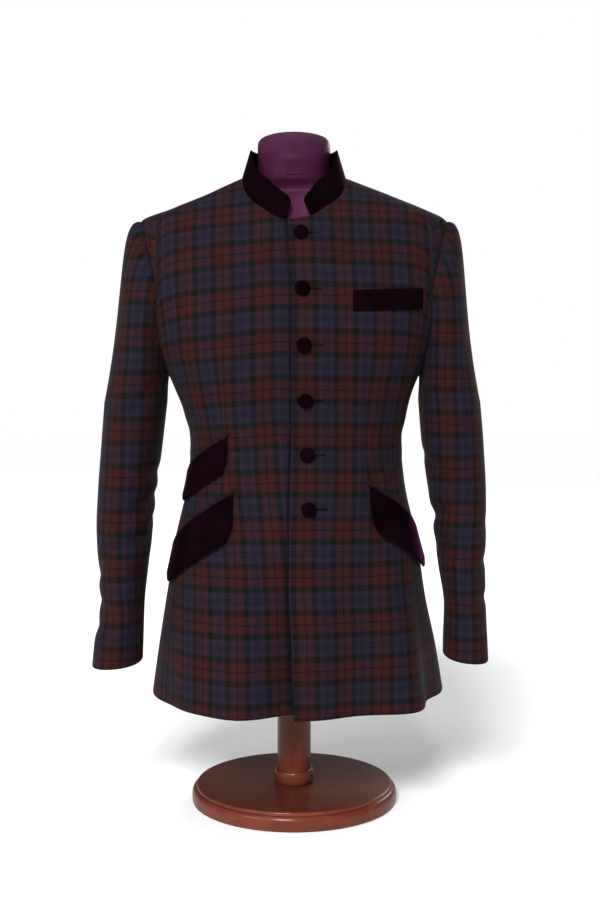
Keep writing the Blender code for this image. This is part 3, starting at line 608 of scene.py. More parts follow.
# Small creases of each panel: share across and height of the middle, half length, half width,
# slant in degrees from upright, and height out of the cloth. Each wavers by a share of its
# half width, a few times along it.
CREASE_WAVER = 0.18
CREASE_WAVES = 2.3
BODY_CREASES = {
    "left_front": (
        (0.80, 0.660, 0.050, 0.011, 38, -0.0016),
        (0.70, 0.640, 0.040, 0.010, 30, 0.0010),
        (0.62, 0.545, 0.050, 0.012, 70, -0.0012),
        (0.40, 0.520, 0.060, 0.012, 78, 0.0008),
        (0.75, 0.505, 0.045, 0.009, 66, -0.0010),
        (0.34, 0.800, 0.060, 0.016, 20, -0.0010),
        (0.52, 0.300, 0.110, 0.016, 4, -0.0016),
        (0.20, 0.260, 0.090, 0.014, -3, 0.0012),
    ),
    "right_front": (
        (0.82, 0.650, 0.050, 0.011, -36, -0.0017),
        (0.74, 0.625, 0.042, 0.009, -28, 0.0010),
        (0.72, 0.560, 0.050, 0.012, -72, -0.0010),
        (0.55, 0.515, 0.050, 0.011, -80, 0.0008),
        (0.45, 0.800, 0.060, 0.016, -24, -0.0010),
        (0.60, 0.270, 0.100, 0.016, -5, -0.0015),
        (0.42, 0.320, 0.090, 0.013, 3, 0.0010),
    ),
    "left_back": (
        (0.70, 0.660, 0.055, 0.012, 40, -0.0018),
        (0.55, 0.620, 0.050, 0.011, 55, -0.0012),
        (0.35, 0.540, 0.060, 0.011, 82, -0.0013),
        (0.30, 0.515, 0.050, 0.009, 86, 0.0008),
        (0.55, 0.300, 0.100, 0.017, 3, -0.0016),
    ),
    "right_back": (
        (0.72, 0.650, 0.055, 0.012, -42, -0.0018),
        (0.50, 0.610, 0.050, 0.011, -58, -0.0012),
        (0.38, 0.548, 0.060, 0.011, -80, -0.0013),
        (0.34, 0.520, 0.050, 0.009, -87, 0.0008),
        (0.50, 0.290, 0.110, 0.017, -4, -0.0016),
    ),
    "left_side": (
        (0.50, 0.560, 0.040, 0.011, 75, -0.0014),
        (0.45, 0.530, 0.040, 0.009, 82, 0.0008),
    ),
    "right_side": (
        (0.50, 0.555, 0.040, 0.011, -75, -0.0014),
        (0.50, 0.525, 0.040, 0.009, -84, 0.0008),
    ),
}
DART_ACROSS = 0.105
DART_TOP = 0.700
DART_WAIST = 0.540
DART_BOTTOM = 0.470
DART_INTAKE = 0.012
DART_GROOVE = 0.0010
DART_GROOVE_WIDTH = 0.0016


def bell(distance, width):
    """1 at no distance, fading over the width."""
    return np.exp(-((distance / width) ** 2))


def unit(vectors):
    return vectors / np.linalg.norm(vectors, axis=-1, keepdims=True)


def depths(size, in_front):
    """How deep a section is from its widest line to the front or to the back."""
    return np.where(in_front, size["front"] + size["widest"], size["back"] - size["widest"])


@functools.cache
def outline(height, hand):
    """Arc length from the centre front, and points, round the folded section of one hand."""
    size = section(height)
    turn = np.linspace(-math.pi, math.pi, TURN_STEPS + 1)
    x = size["sway"] + size["half_width"] * signed_power(np.sin(turn), 2 / size["square"])
    y = size["widest"] - depths(size, np.cos(turn) > 0) * signed_power(np.cos(turn), 2 / size["square"])
    arc = np.concatenate([[0.0], np.cumsum(np.hypot(np.diff(x), np.diff(y)))])
    arc -= arc[TURN_STEPS // 2]
    along_x, along_y = np.gradient(x, arc), np.gradient(y, arc)
    share = np.abs(arc / arc[-1])
    pushed = np.zeros_like(arc)
    for at, spread, top, depth in FOLDS[hand]:
        if height < top:
            growth = ((top - height) / (top - HEM)) ** 1.4
            pushed += depth * growth * bell(share - at, spread)
    return arc, x + pushed * along_y, y - pushed * along_x


def along_outline(arc, height, hand):
    """X and Y at an arc length from the centre front, round the folded section of one hand."""
    arcs, xs, ys = outline(height, hand)
    return np.interp(arc, arcs, xs), np.interp(arc, arcs, ys)


def front_arc(across, height, hand):
    """Arc length from the centre front to an X on the front."""
    arcs, xs, _ = outline(height, hand)
    return np.interp(across, xs[FRONT_HALF], arcs[FRONT_HALF])


def on_front_or_back(across, height, front):
    """Points of the unfolded body at given X and heights, on its front or its back."""
    size = section(height)
    share = np.minimum(np.abs(across - size["sway"]) / size["half_width"], 1.0)
    left_over = (1 - share ** size["square"]) ** (1 / size["square"])
    y = size["widest"] + (-1 if front else 1) * depths(size, front) * left_over
    return joined(across, y, height)


def neckline(across, front):
    """Points of the neckline at given X, on the front or the back."""
    line = FRONT_NECK_LINE if front else BACK_NECK_LINE
    return on_front_or_back(across, np.minimum(line(np.abs(across)), NECK_SIDE), front)


def lap_lift(across):
    """How far the front that laps over stands off the other one."""
    return LAP_LIFT * (1 - ease(across, LAP_FLAT_TO, LAP_GONE_AT))


def body_reach(points):
    """How far out points lie from the section's middle: 1 on the body."""
    size = section(points[..., 2])
    across, behind = points[..., 0] - size["sway"], points[..., 1] - size["widest"]
    sideways, deep = np.abs(across) / size["half_width"], np.abs(behind) / depths(size, behind < 0)
    return (sideways ** size["square"] + deep ** size["square"]) ** (1 / size["square"])


def onto_body(points):
    """Moves points straight out from the section's middle onto the body."""
    size, reach = section(points[..., 2]), body_reach(points)
    x = size["sway"] + (points[..., 0] - size["sway"]) / reach
    y = size["widest"] + (points[..., 1] - size["widest"]) / reach
    return joined(x, y, points[..., 2])


def body_normal(points):
    """Unit normals of the body at points on it."""
    steps = np.eye(3) * NORMAL_STEP
    return unit(joined(*(body_reach(points + step) - body_reach(points - step) for step in steps)))


def armhole(turn):
    """Points of the left armhole: 0 at the shoulder, pi/2 at the front, pi at the armpit."""
    turn = np.asarray(turn, float)
    straighter = 1 - ARMHOLE_STRAIGHTER * np.maximum(np.cos(turn), 0.0) ** 1.25
    y = -np.where(np.sin(turn) > 0, ARMHOLE_FRONT * straighter, ARMHOLE_BACK) * np.sin(turn)
    height = ARMHOLE_MIDDLE + ARMHOLE_HALF_HEIGHT * np.cos(turn)
    size = section(height)
    depth = np.where(y < 0, size["front"], size["back"])
    left_over = np.maximum(1 - (np.abs(y) / depth) ** size["square"], 0.0) ** (1 / size["square"])
    return joined(size["half_width"] * left_over, y, height)


@functools.cache
def seam_top(turn):
    """Height at which a side seam meets the armhole, and its share of the half girth there."""
    _, y, top = armhole(turn)
    arcs, _, ys = outline(top, "left")
    return top, np.interp(y, ys[LEFT_HALF], arcs[LEFT_HALF]) / arcs[-1]


def seam_share(height, front):
    """Share of the half girth where a front's or a back's side seam lies, straight up the body."""
    turn, at_hem = (SIDE_PANEL_FROM, FRONT_SEAM_AT_HEM) if front else (SIDE_PANEL_TO, BACK_SEAM_AT_HEM)
    top, at_top = seam_top(turn)
    return at_hem + (at_top - at_hem) * (height - HEM) / (top - HEM)


def even(line, places):
    """A polyline's points at shares of its length."""
    run = np.concatenate([[0.0], np.cumsum(np.linalg.norm(np.diff(line, axis=0), axis=1))])
    wanted = np.asarray(places) * run[-1]
    return joined(*(np.interp(wanted, run, line[:, i]) for i in range(3)))


def lengths(grid, axis):
    """Running length along the rows or columns of a grid of points."""
    step = np.linalg.norm(np.diff(grid, axis=axis), axis=-1)
    start = np.zeros_like(np.take(step, [0], axis=axis))
    return np.concatenate([start, np.cumsum(step, axis=axis)], axis=axis)


def shares_with_edges(places, width):
    """Shares from 0 to 1 with extra ones close to both ends, where the cloth's edge rolls."""
    clear = 1.6 * EDGE_ROLL / width
    inside = [p for p in places if clear < p < 1 - clear]
    near = EDGE_STEPS / width
    return np.array([*near, *inside, *(1 - near[::-1])])


def grid_normals(grid):
    """Unit normals of a curved grid of points, away from the middles of its rows."""
    normal = np.cross(np.gradient(grid, axis=1), np.gradient(grid, axis=0))
    normal /= np.maximum(np.linalg.norm(normal, axis=-1, keepdims=True), 1e-12)
    away = grid - grid.mean(axis=1, keepdims=True)
    return normal if (normal * away).sum() > 0 else -normal


def read_table(table, rows, columns, at_row, at_column):
    """Values between the entries of a table whose rows and columns lie at given places."""
    row = np.interp(at_row, rows, np.arange(len(rows)))
    column = np.interp(at_column, columns, np.arange(len(columns)))
    r = np.minimum(row.astype(int), len(rows) - 2)
    c = np.minimum(column.astype(int), len(columns) - 2)
    t, s = row - r, column - c
    low = table[r, c] * (1 - s) + table[r, c + 1] * s
    high = table[r + 1, c] * (1 - s) + table[r + 1, c + 1] * s
    return low * (1 - t) + high * t


def upper_length(points, front, foot):
    """Length of the cloth straight up a front or a back from a foot height, at each point."""
    across = np.linspace(0.0, WIDEST_FRONT, 140)
    height = np.linspace(foot, NECK_SIDE, 320)
    run = lengths(on_front_or_back(across[None, :], height[:, None], front), 0)
    return read_table(run, height, across, points[..., 2], np.abs(points[..., 0]))


def centre_back(height):
    """X of the centre back seam, which swings with the body's sway below the armholes."""
    return np.where(height < ARMHOLE_MIDDLE, section(height)["sway"], 0.0)


def side_of(hand):
    """1 on the wearer's left, where X is positive, and -1 on the right."""
    return 1.0 if hand == "left" else -1.0


def straight_part(hand, front, inner_edge, across, joint):
    """A front's or a back's points and cloth places from the hem to the foot of the armhole."""
    side = side_of(hand)
    rows, places = [], []
    for height in np.concatenate([HEM + EDGE_STEPS, np.linspace(HEM, joint, ROWS_UP)[1:]]):
        half_girth = outline(height, hand)[0][-1]
        sway = float(section(height)["sway"])
        edge = float(inner_edge(height)) - sway
        start = edge if front else side * half_girth - edge
        end = side * (half_girth * seam_share(height, front) + (-SEAM if front else SEAM))
        arc = start + (end - start) * across
        rows.append(joined(*along_outline(arc, height, hand), height))
        from_middle = arc + sway if front else side * half_girth - arc + sway
        places.append(joined(from_middle, height))
    return np.array(rows), np.array(places)


def top_edge(hand, front, inner_edge, neck_share, across):
    """The top row of a front or a back: along the neckline, then along the shoulder seam."""
    side = side_of(hand)
    neck_edge = float(inner_edge(NECK_FRONT if front else NECK_BACK))
    neck_width = side * float(section(NECK_SIDE)["half_width"]) - neck_edge
    spread = neck_edge + neck_width * np.sin(np.linspace(0, math.pi / 2, 200))
    neck = neckline(spread, front)
    ridge = np.linspace(NECK_SIDE, SHOULDER_TIP, 60)
    size = section(ridge)
    shoulder_x = size["sway"] + side * size["half_width"]
    shoulder = joined(shoulder_x, size["widest"] + (-SEAM if front else SEAM), ridge)
    in_neck = across <= neck_share + 1e-9
    past_neck = (across[~in_neck] - neck_share) / (1 - neck_share)
    return np.concatenate([even(neck, across[in_neck] / neck_share), even(shoulder, past_neck)])


def panel(hand, front, inner_edge, neck_share):
    """Outer points and cloth places (across, up) of a front or a back, from hem to neckline."""
    side = side_of(hand)
    turn = SIDE_PANEL_FROM if front else SIDE_PANEL_TO
    joint = float(armhole(turn)[2])
    shares = [*np.linspace(0, neck_share, 32)[:-1], *np.linspace(neck_share, 1, 32)]
    across = shares_with_edges(shares, PANEL_WIDTH)
    lower, places = straight_part(hand, front, inner_edge, across, joint)
    bottom, top = lower[-1], top_edge(hand, front, inner_edge, neck_share, across)

    up = np.sin(np.linspace(0, 1, 50) * math.pi / 2) ** 0.9
    left_height = joint + (top[0][2] - joint) * up
    left = on_front_or_back(inner_edge(left_height), left_height, front)
    last = 0.0 if front else 2 * math.pi
    right = armhole(turn + (last - turn) * up) * np.array([side, 1.0, 1.0])
    left[0], left[-1], right[0], right[-1] = bottom[0], top[0], bottom[-1], top[-1]
    a, u = across[None, :, None], up[:, None, None]
    ruled = (1 - a) * left[:, None] + a * right[:, None] + (1 - u) * bottom[None] + u * top[None]
    corners = (1 - u) * ((1 - a) * bottom[0] + a * bottom[-1]) + u * ((1 - a) * top[0] + a * top[-1])
    upper = ruled - corners
    upper[1:-1, 1:-1] = onto_body(upper[1:-1, 1:-1])

    facing = 1 if front else -1
    near = np.clip(upper[..., 0], -STRAIGHT_FROM, STRAIGHT_FROM)
    upper_across = facing * front_arc(facing * near, joint, hand)
    upper_across += (upper[..., 0] - near) * SHOULDER_SPREAD
    upper_places = joined(upper_across, joint + upper_length(upper, front, joint))
    shift = places[-1] - upper_places[0]
    upper_places += shift[None] * (1 - ease(up, 0.0, 0.5))[:, None, None]
    return np.concatenate([lower, upper[1:]]), np.concatenate([places, upper_places[1:]])


def side_panel(hand):
    """Outer points and cloth places of the panel under the arm."""
    side = side_of(hand)
    first, last = armhole(SIDE_PANEL_FROM)[1], armhole(SIDE_PANEL_TO)[1]
    across = shares_with_edges(np.linspace(0, 1, 30), SIDE_PANEL_WIDTH)
    y = first + (last - first) * across
    reach = np.where(y < 0, ARMHOLE_FRONT, ARMHOLE_BACK)
    tops = ARMHOLE_MIDDLE - ARMHOLE_HALF_HEIGHT * np.sqrt(1 - (y / reach) ** 2)
    near_hem = HEM + np.outer(EDGE_STEPS, np.ones_like(y))
    heights = np.concatenate([near_hem, np.linspace(HEM, tops, ROWS_UP)[1:]])
    grid = np.zeros((*heights.shape, 3))
    places = np.zeros((*heights.shape, 2))
    for (r, c), height in np.ndenumerate(heights):
        level = round(float(height), 4)
        half_girth = outline(level, hand)[0][-1]
        start = half_girth * seam_share(level, True) + SEAM
        end = half_girth * seam_share(level, False) - SEAM
        arc = side * (start + (end - start) * across[c])
        grid[r, c] = *along_outline(arc, level, hand), height
        places[r, c] = side * (abs(arc) - start), height
    return grid, places


def crease(main, beside, half_length, half_width, slant, depth, waver, turns, start):
    """A soft ridge or trough, slanted by some degrees from the direction that main runs in."""
    lean = math.radians(slant)
    along = main * math.cos(lean) + beside * math.sin(lean)
    off = beside * math.cos(lean) - main * math.sin(lean)
    off = off + waver * half_width * np.sin(along / half_length * turns + start)
    return depth * np.exp(-((off / half_width) ** 2) - (along / half_length) ** 4)


def creased(grid, normals, panel_name, across):
    """A panel's points with its soft creases pushed in and out."""
    pushed = np.zeros(grid.shape[:2])
    width = np.ptp(across, axis=1)[:, None]
    share = (across - across[:, :1]) / (across[:, -1:] - across[:, :1])
    for at, level, *shape in BODY_CREASES[panel_name]:
        up, beside = grid[..., 2] - level, (share - at) * width
        pushed += crease(up, beside, *shape, CREASE_WAVER, CREASE_WAVES, at * 9)
    return grid + normals * pushed[..., None]


def edge_roll(grid, bottom=EDGE_DROP, top=EDGE_DROP, first=EDGE_DROP, last=EDGE_DROP):
    """How far each point sinks where the cloth rolls over at an edge."""
    across, up = lengths(grid, 1), lengths(grid, 0)
    edges = ((up, bottom), (up[-1:] - up, top), (across, first), (across[:, -1:] - across, last))
    sunk = np.zeros(grid.shape[:2])
    for distance, drop in edges:
        near = np.clip(1 - distance / EDGE_ROLL, 0.0, 1.0)
        sunk = np.maximum(sunk, drop * (1 - np.sqrt(1 - near**2 * 0.98)))
    return sunk


def cloth_piece(name, grid, places, thickness, normals, sunk, edge_shade=0.0):
    """A closed thin shell: the outer grid, the same grid a cloth's thickness in, and rims, with a painted
    shade value at each point.
    """
    outer = grid - normals * sunk[..., None]
    inner = grid - normals * (thickness - sunk * 0.4)[..., None]
    rows, columns = grid.shape[:2]
    index = np.arange(rows * columns).reshape(rows, columns)
    quads = np.stack([index[:-1, :-1], index[:-1, 1:], index[1:, 1:], index[1:, :-1]], axis=-1)
    quads = quads.reshape(-1, 4)
    under = rows * columns
    border = np.concatenate([index[0], index[1:, -1], index[-1, -2::-1], index[-2:0:-1, 0]])
    after = np.roll(border, -1)
    rim = np.stack([after, border, under + border, under + after], axis=1)
    faces = np.concatenate([quads, under + quads[:, ::-1], rim]).tolist()
    points = np.concatenate([outer.reshape(-1, 3), inner.reshape(-1, 3)])
    uv = np.concatenate([places.reshape(-1, 2)] * 2)
    piece = mesh_piece(name, points, faces, uv)
    # Painted shade for the wool's colour: dark where edges roll and seams sink and where edge_shade says, and
    # full on the inner face.
    shade = piece.data.attributes.new("crevice", "FLOAT", "POINT")
    crevice = np.clip(np.maximum(sunk / EDGE_DROP, edge_shade), 0, 1).ravel()
    shade.data.foreach_set("value", np.concatenate([crevice, 1 + 0 * crevice]).astype(np.float32))
    piece.data.set_sharp_from_angle(angle=math.radians(70))
    return piece


def cut_sheet(piece, grid, places, held, *rests_on):
    """Works out a sheet's flat cut from the bounds of its cloth places and its area, and does nothing more
    with it.
    """
    a, b = grid[1:, 1:] - grid[:-1, :-1], grid[1:, :-1] - grid[:-1, 1:]
    area = float(np.linalg.norm(np.cross(a, b), axis=-1).sum() / 2)
    width, length = (float(np.ptp(places[..., i])) for i in (0, 1))
    length = max(length, LEAST_FLAT_LENGTH)
    width = max(width, area / length)


# The check: a two-and-two twill. Red and navy stripes of about equal width part by narrow
# bottle green ones. One dark thread line halves each red, and three lie in each navy.

WARP_REPEAT = 0.0562
WEFT_REPEAT = 0.0652
RED = (0.0252, 0.0052, 0.0054)
NAVY = (0.0116, 0.0088, 0.0188)
GREEN = (0.0027, 0.0027, 0.0020)
DARK_LINE = (0.0016, 0.0011, 0.0016)
TWILL_PITCH = 0.0021

# One repeat of the check: thread, and share of the repeat.
SETT = (
    ("line", 0.016),
    ("red", 0.170),
    ("green", 0.129),
    ("navy", 0.121),
    ("line", 0.019),
    ("navy", 0.035),
    ("line", 0.019),
    ("navy", 0.036),
    ("line", 0.019),
    ("navy", 0.121),
    ("green", 0.129),
    ("red", 0.170),
    ("line", 0.016),
)
THREADS = {"red": RED, "navy": NAVY, "green": GREEN, "line": DARK_LINE}


def sett_stops():
    """Colour stops of one repeat, with a short change between two stripes."""
    stops, place = [], 0.0
    for name, width in SETT:
        change = min(0.004, width * 0.3)
        stops += [(place + change, THREADS[name]), (place + width - change, THREADS[name])]
        place += width
    return stops


def checked_wool(name, warp_start, weft_start):
    """Checked wool whose red stripes' middles lie at the given cloth places."""
    finish = Finish(name)
    where = finish.node("ShaderNodeUVMap", {"uv_map": "cloth"})
    u, v = (finish.node("ShaderNodeSeparateXYZ", None, [where], output=i) for i in (0, 1))
    wander = finish.noise(where, 22.0, 2.0) * 0.0012
    warp = ((u + wander - warp_start) / WARP_REPEAT).maths("FRACT")
    weft = ((v + wander - weft_start) / WEFT_REPEAT).maths("FRACT")
    warp_colour = finish.ramp(warp, *sett_stops())
    weft_colour = finish.ramp(weft, *sett_stops())
    twill = ((u * 0.8 + v) * (2 * math.pi / TWILL_PITCH)).maths("SINE")
    over = 0.5 + twill * 0.20
    woven = finish.blend(over, warp_colour, weft_colour)
    fuzz = finish.noise(where, 900.0, 3.0, 0.6)
    patchy = finish.noise(where, 30.0, 3.0, 0.5)
    # Painted shade: the colour darkens by the painted crevice shade each piece carries at its seams and
    # edges.
    crevice = finish.node("ShaderNodeAttribute", {"attribute_name": "crevice"}, output=2)
    shade = (0.72 + fuzz * 0.36 + patchy * 0.20) * (1.0 - crevice * 0.92)
    tone = finish.node("ShaderNodeCombineXYZ", None, [shade, shade, shade])
    colour = finish.node("ShaderNodeVectorMath", {"operation": "MULTIPLY"}, [woven, tone])
    height = twill * 0.5 + fuzz * 0.9
    slub = finish.noise(where, 260.0, 2.0)
    return finish.surface(
        Base_Color=colour,
        Roughness=0.84 + fuzz * 0.15,
        Specular_IOR_Level=0.09,
        Sheen_Weight=0.04,
        Sheen_Roughness=0.45,
        Sheen_Tint=(0.60, 0.50, 0.52, 1),
        Normal=finish.bump(height + slub * 0.6, 0.00022, 0.55),
    )


wool_left = checked_wool("checked_wool_left", 0.0172, 0.0397)
wool_right = checked_wool("checked_wool_right", -0.0433, 0.0397)


def with_dart(grid, normals, places):
    """Sinks a front's waist dart into its points, and takes its cloth out of the places."""
    dart = np.abs(places[..., 0]) - DART_ACROSS
    height = places[..., 1]
    depth = ease(height, DART_BOTTOM, DART_WAIST) * (1 - ease(height, DART_WAIST, DART_TOP))
    groove = DART_GROOVE * bell(dart, DART_GROOVE_WIDTH) * np.minimum(depth * 8, 1.0)
    taken = DART_INTAKE * depth * ease(dart, -DART_GROOVE_WIDTH, DART_GROOVE_WIDTH)
    across = places[..., 0] + np.sign(places[..., 0]) * taken
    return grid - normals * groove[..., None], joined(across, height)


def strayed(grid, places, hand):
    """A front's cloth places once its threads have strayed as it hangs."""
    stray = read_lines(DRIFT_LINES[hand], grid[..., 2])
    to_side = np.clip((np.abs(grid[..., 0]) - DRIFT_MIDDLE_TO) / DRIFT_SIDE_PAST, 0.0, DRIFT_MOST)
    down = stray["down_middle"] + (stray["down_side"] - stray["down_middle"]) * to_side
    return places + joined(-stray["sideways"], down)


def body_cloth(node, grid, places, finish):
    """One panel of the body as a piece of cloth in the place of its solids."""
    hand, kind = node.split("_")[:2]
    normals = grid_normals(grid)
    normals[-1] = normals[-2]
    if node == "left_front":
        grid = grid + normals * lap_lift(grid[..., 0])[..., None]
    if kind == "front":
        grid, places = with_dart(grid, normals, places)
        places = strayed(grid, places, hand)
    grid = creased(grid, normals, hand + "_" + kind, places[..., 0])
    # Painted shade: a dark line along the armhole seam, along the left front's edge, and on the right front
    # beside the edge of the lap.
    run = lengths(grid, 1)
    armpit = grid[-1, -1, 2] - 2 * ARMHOLE_HALF_HEIGHT
    shade = bell(run[:, -1:] - run, SEAM_SHADE) * (grid[..., 2] >= armpit)
    if node == "left_front":
        shade = np.maximum(shade, 1.2 * bell(run, EDGE_SHADE))
    if node == "right_front":
        under_lap = FRONT_EDGE(grid[..., 2]) - grid[..., 0]
        shade = np.maximum(shade, bell(under_lap, LAP_SHADE) * (under_lap > -LAP_SHADE_PAST_EDGE))
    free_edge = EDGE_DROP if kind == "front" else SEAM_DROP
    sunk = edge_roll(grid, top=SEAM_DROP, first=free_edge, last=SEAM_DROP)
    piece = cloth_piece(f"{hand}_{kind}_cloth", grid, places, CLOTH, normals, sunk, shade)
    dress(piece, finish, "checked_wool", *([node] if kind == "side" else [node, node + "_skirt"]))
    cut_sheet(piece, grid, places, "hung", "dress_form")


wool_back = checked_wool("checked_wool_back", 0.0281, 0.0397)
body_cloth("left_front", *panel("left", True, FRONT_EDGE, 0.5), wool_left)
body_cloth("right_front", *panel("right", True, lambda h: UNDERLAP_EDGE + 0 * h, 7 / 12), wool_right)
body_cloth("left_back", *panel("left", False, lambda h: centre_back(h) + SEAM, 0.5), wool_back)
body_cloth("right_back", *panel("right", False, lambda h: centre_back(h) - SEAM, 0.5), wool_back)
for hand in ("left", "right"):
    body_cloth(hand + "_side_panel", *side_panel(hand), wool_back)

# The sleeves: each of two parts, a top sleeve that wraps round the outside and an under sleeve
# inside, joined by a front and a back seam. The head is eased into the armhole over a light
# wadding, and the sleeve bends forward at the elbow and ends in a plain turned-up cuff.

ARMHOLE_GAP = 0.0003
TUCKED_IN = 0.0010
TUCKED_UNDER = 0.0013
CAP_FOOT = 0.600
CUFF = {"right": 0.219, "left": 0.227}
CUFF_DROP_OUTSIDE = 0.0035
HEAD_LIFT = 0.008
HEAD_SINK = 0.012
HEAD_OUT_UNDER = 0.002
HEAD_OUT_OVER = 0.0335
HEAD_SPREAD = 0.016
SLEEVE_RADIUS = 0.052
SLEEVE_SEAM_GAP = SEAM / 0.055
ARM_LENGTH = 0.38
TOP_SLEEVE_WIDTH = 0.20
UNDER_SLEEVE_WIDTH = 0.14
SLEEVE_SQUARE = 2.2
FRONT_SLEEVE_SEAM = math.radians(118)
BACK_SLEEVE_SEAM_TOP = math.radians(262)
BACK_SLEEVE_SEAM_CUFF = math.radians(318)
SLEEVE_COLUMNS = ("height", "right_outer", "right_inner", "left_outer", "left_inner", "front", "back")
SLEEVE = (
    (0.190, 0.2990, 0.2240, 0.2870, 0.2190, 0.092, 0.012),
    (0.250, 0.2935, 0.2225, 0.2845, 0.2200, 0.085, 0.023),
    (0.300, 0.2865, 0.2215, 0.2830, 0.2220, 0.077, 0.036),
    (0.355, 0.2895, 0.2165, 0.2825, 0.2145, 0.068, 0.051),
    (0.418, 0.2925, 0.2085, 0.2845, 0.2060, 0.062, 0.064),
    (0.460, 0.2905, 0.2045, 0.2840, 0.2005, 0.062, 0.069),
    (0.543, 0.2835, 0.1940, 0.2790, 0.1885, 0.067, 0.074),
    (0.600, 0.2785, 0.1870, 0.2735, 0.1835, 0.072, 0.076),
)
SLEEVE_LINES = table_lines(SLEEVE_COLUMNS, SLEEVE)

# Creases of each sleeve: turn in degrees from the outside towards the front and height of the
# middle, half length round, half width up, slant in degrees, and height out of the cloth.
SLEEVE_WAVER = 0.25
SLEEVE_WAVES = 2.1
SLEEVE_CREASES = {
    "right": (
        (150, 0.455, 0.055, 0.010, 12, -0.0042),
        (120, 0.425, 0.050, 0.009, 18, 0.0022),
        (130, 0.400, 0.050, 0.010, 8, -0.0036),
        (160, 0.500, 0.045, 0.010, -14, -0.0030),
        (60, 0.380, 0.050, 0.011, 22, -0.0022),
        (10, 0.345, 0.045, 0.010, 10, -0.0030),
        (0, 0.312, 0.040, 0.009, -8, -0.0026),
        (20, 0.278, 0.050, 0.010, 14, -0.0026),
        (70, 0.300, 0.055, 0.011, -18, -0.0020),
        (110, 0.345, 0.050, 0.010, 16, -0.0024),
        (200, 0.430, 0.045, 0.012, 20, -0.0030),
        (250, 0.470, 0.050, 0.014, -20, -0.0020),
        (290, 0.360, 0.050, 0.012, 24, -0.0022),
        (60, 0.640, 0.060, 0.014, 62, -0.0022),
        (100, 0.600, 0.050, 0.012, 50, -0.0026),
        (330, 0.560, 0.060, 0.016, 70, -0.0014),
    ),
    "left": (
        (145, 0.440, 0.055, 0.010, -12, -0.0042),
        (120, 0.468, 0.050, 0.009, -16, 0.0020),
        (135, 0.392, 0.050, 0.010, -6, -0.0036),
        (155, 0.512, 0.045, 0.010, 16, -0.0028),
        (55, 0.410, 0.050, 0.011, -20, -0.0022),
        (8, 0.372, 0.045, 0.010, -10, -0.0024),
        (20, 0.318, 0.045, 0.009, 12, -0.0022),
        (80, 0.300, 0.050, 0.010, -14, -0.0024),
        (200, 0.425, 0.045, 0.012, -20, -0.0030),
        (255, 0.480, 0.050, 0.014, 18, -0.0020),
        (285, 0.350, 0.050, 0.012, -22, -0.0022),
        (65, 0.650, 0.060, 0.014, -60, -0.0022),
        (105, 0.590, 0.050, 0.012, -52, -0.0026),
    ),
}

# How far the threads stray on each sleeve: round it towards the front, and down.
SLEEVE_DRIFT_COLUMNS = ("height", "round_it", "down")
SLEEVE_DRIFT = {
    "right": (
        (0.250, 0.0020, -0.0080),
        (0.330, -0.0030, -0.0085),
        (0.410, 0.0030, -0.0090),
        (0.500, 0.0070, -0.0100),
        (0.610, 0.0055, -0.0143),
        (0.680, 0.0040, -0.0158),
        (0.730, 0.0005, -0.0170),
        (0.790, -0.0095, -0.0172),
        (0.840, -0.0130, -0.0172),
        (0.860, -0.0130, -0.0172),
    ),
    "left": (
        (0.250, -0.0180, -0.0215),
        (0.410, -0.0143, -0.0222),
        (0.500, -0.0143, -0.0225),
        (0.600, -0.0143, -0.0228),
        (0.660, -0.0165, -0.0230),
        (0.715, -0.0213, -0.0231),
        (0.770, -0.0300, -0.0233),
        (0.830, -0.0340, -0.0235),
        (0.860, -0.0340, -0.0235),
    ),
}
SLEEVE_DRIFT_LINES = {
    hand: table_lines(SLEEVE_DRIFT_COLUMNS, rows) for hand, rows in SLEEVE_DRIFT.items()
}


def sleeve_ring(turn, height, hand):
    """Points of the left-hand form of a sleeve below the armpit."""
    size = read_lines(SLEEVE_LINES, height)
    outer, inner = size[hand + "_outer"], size[hand + "_inner"]
    x = (outer + inner) / 2 + (outer - inner) / 2 * signed_power(np.cos(turn), 2 / SLEEVE_SQUARE)
    middle, half = (size["back"] - size["front"]) / 2, (size["front"] + size["back"]) / 2
    y = middle - half * signed_power(np.sin(turn), 2 / SLEEVE_SQUARE)
    return joined(x, y, height)


def sleeve_cap(turn, along, hand):
    """Points between the armhole, along 0, and the ring below the armpit, along 1."""
    over = (1 + np.cos(turn)) / 2
    start = armhole(turn) + np.array([ARMHOLE_GAP, 0.0, 0.0])
    end = sleeve_ring(turn, CAP_FOOT, hand)
    leaving_up = HEAD_LIFT * np.cos(turn) - HEAD_SINK * np.abs(np.sin(turn))
    leaving_out = HEAD_OUT_UNDER + HEAD_OUT_OVER * over**0.7
    leaving = joined(leaving_out, -HEAD_SPREAD * np.sin(turn), leaving_up)
    rise = (start[..., 2] - end[..., 2]) * (0.3 + 0.31 * over)
    arriving = rise[..., None] * joined(-0.05 - 0.17 * over, -0.1 * np.sin(turn), 1.0)
    b = along[..., None]
    a = 1 - b
    return a**3 * start + 3 * a * a * b * (start + leaving) + 3 * a * b * b * (end + arriving) + b**3 * end


def sleeve_girths(hand):
    """Arc length round a sleeve from its outermost line, for levels and turns towards the front."""
    turns = np.radians(np.arange(-120, 341, 2))
    levels = np.concatenate([np.linspace(0.190, CAP_FOOT, 42), np.linspace(CAP_FOOT, 0.855, 40)[1:]])
    reach = np.repeat(np.linspace(1, 0, 70)[:, None], len(turns), axis=1)
    cap = sleeve_cap(np.repeat(turns[None], 70, axis=0), reach, hand)
    rising = np.maximum.accumulate(cap[..., 2], axis=0)
    rows = []
    for level in levels:
        if level <= CAP_FOOT:
            rows.append(sleeve_ring(turns, level, hand)[:, :2])
        else:
            x, y = ([np.interp(level, *column) for column in zip(rising.T, cap[..., i].T)] for i in (0, 1))
            rows.append(joined(x, y))
    girth = lengths(np.array(rows), 1)
    return girth - girth[:, turns.searchsorted(-1e-9)][:, None], levels, turns


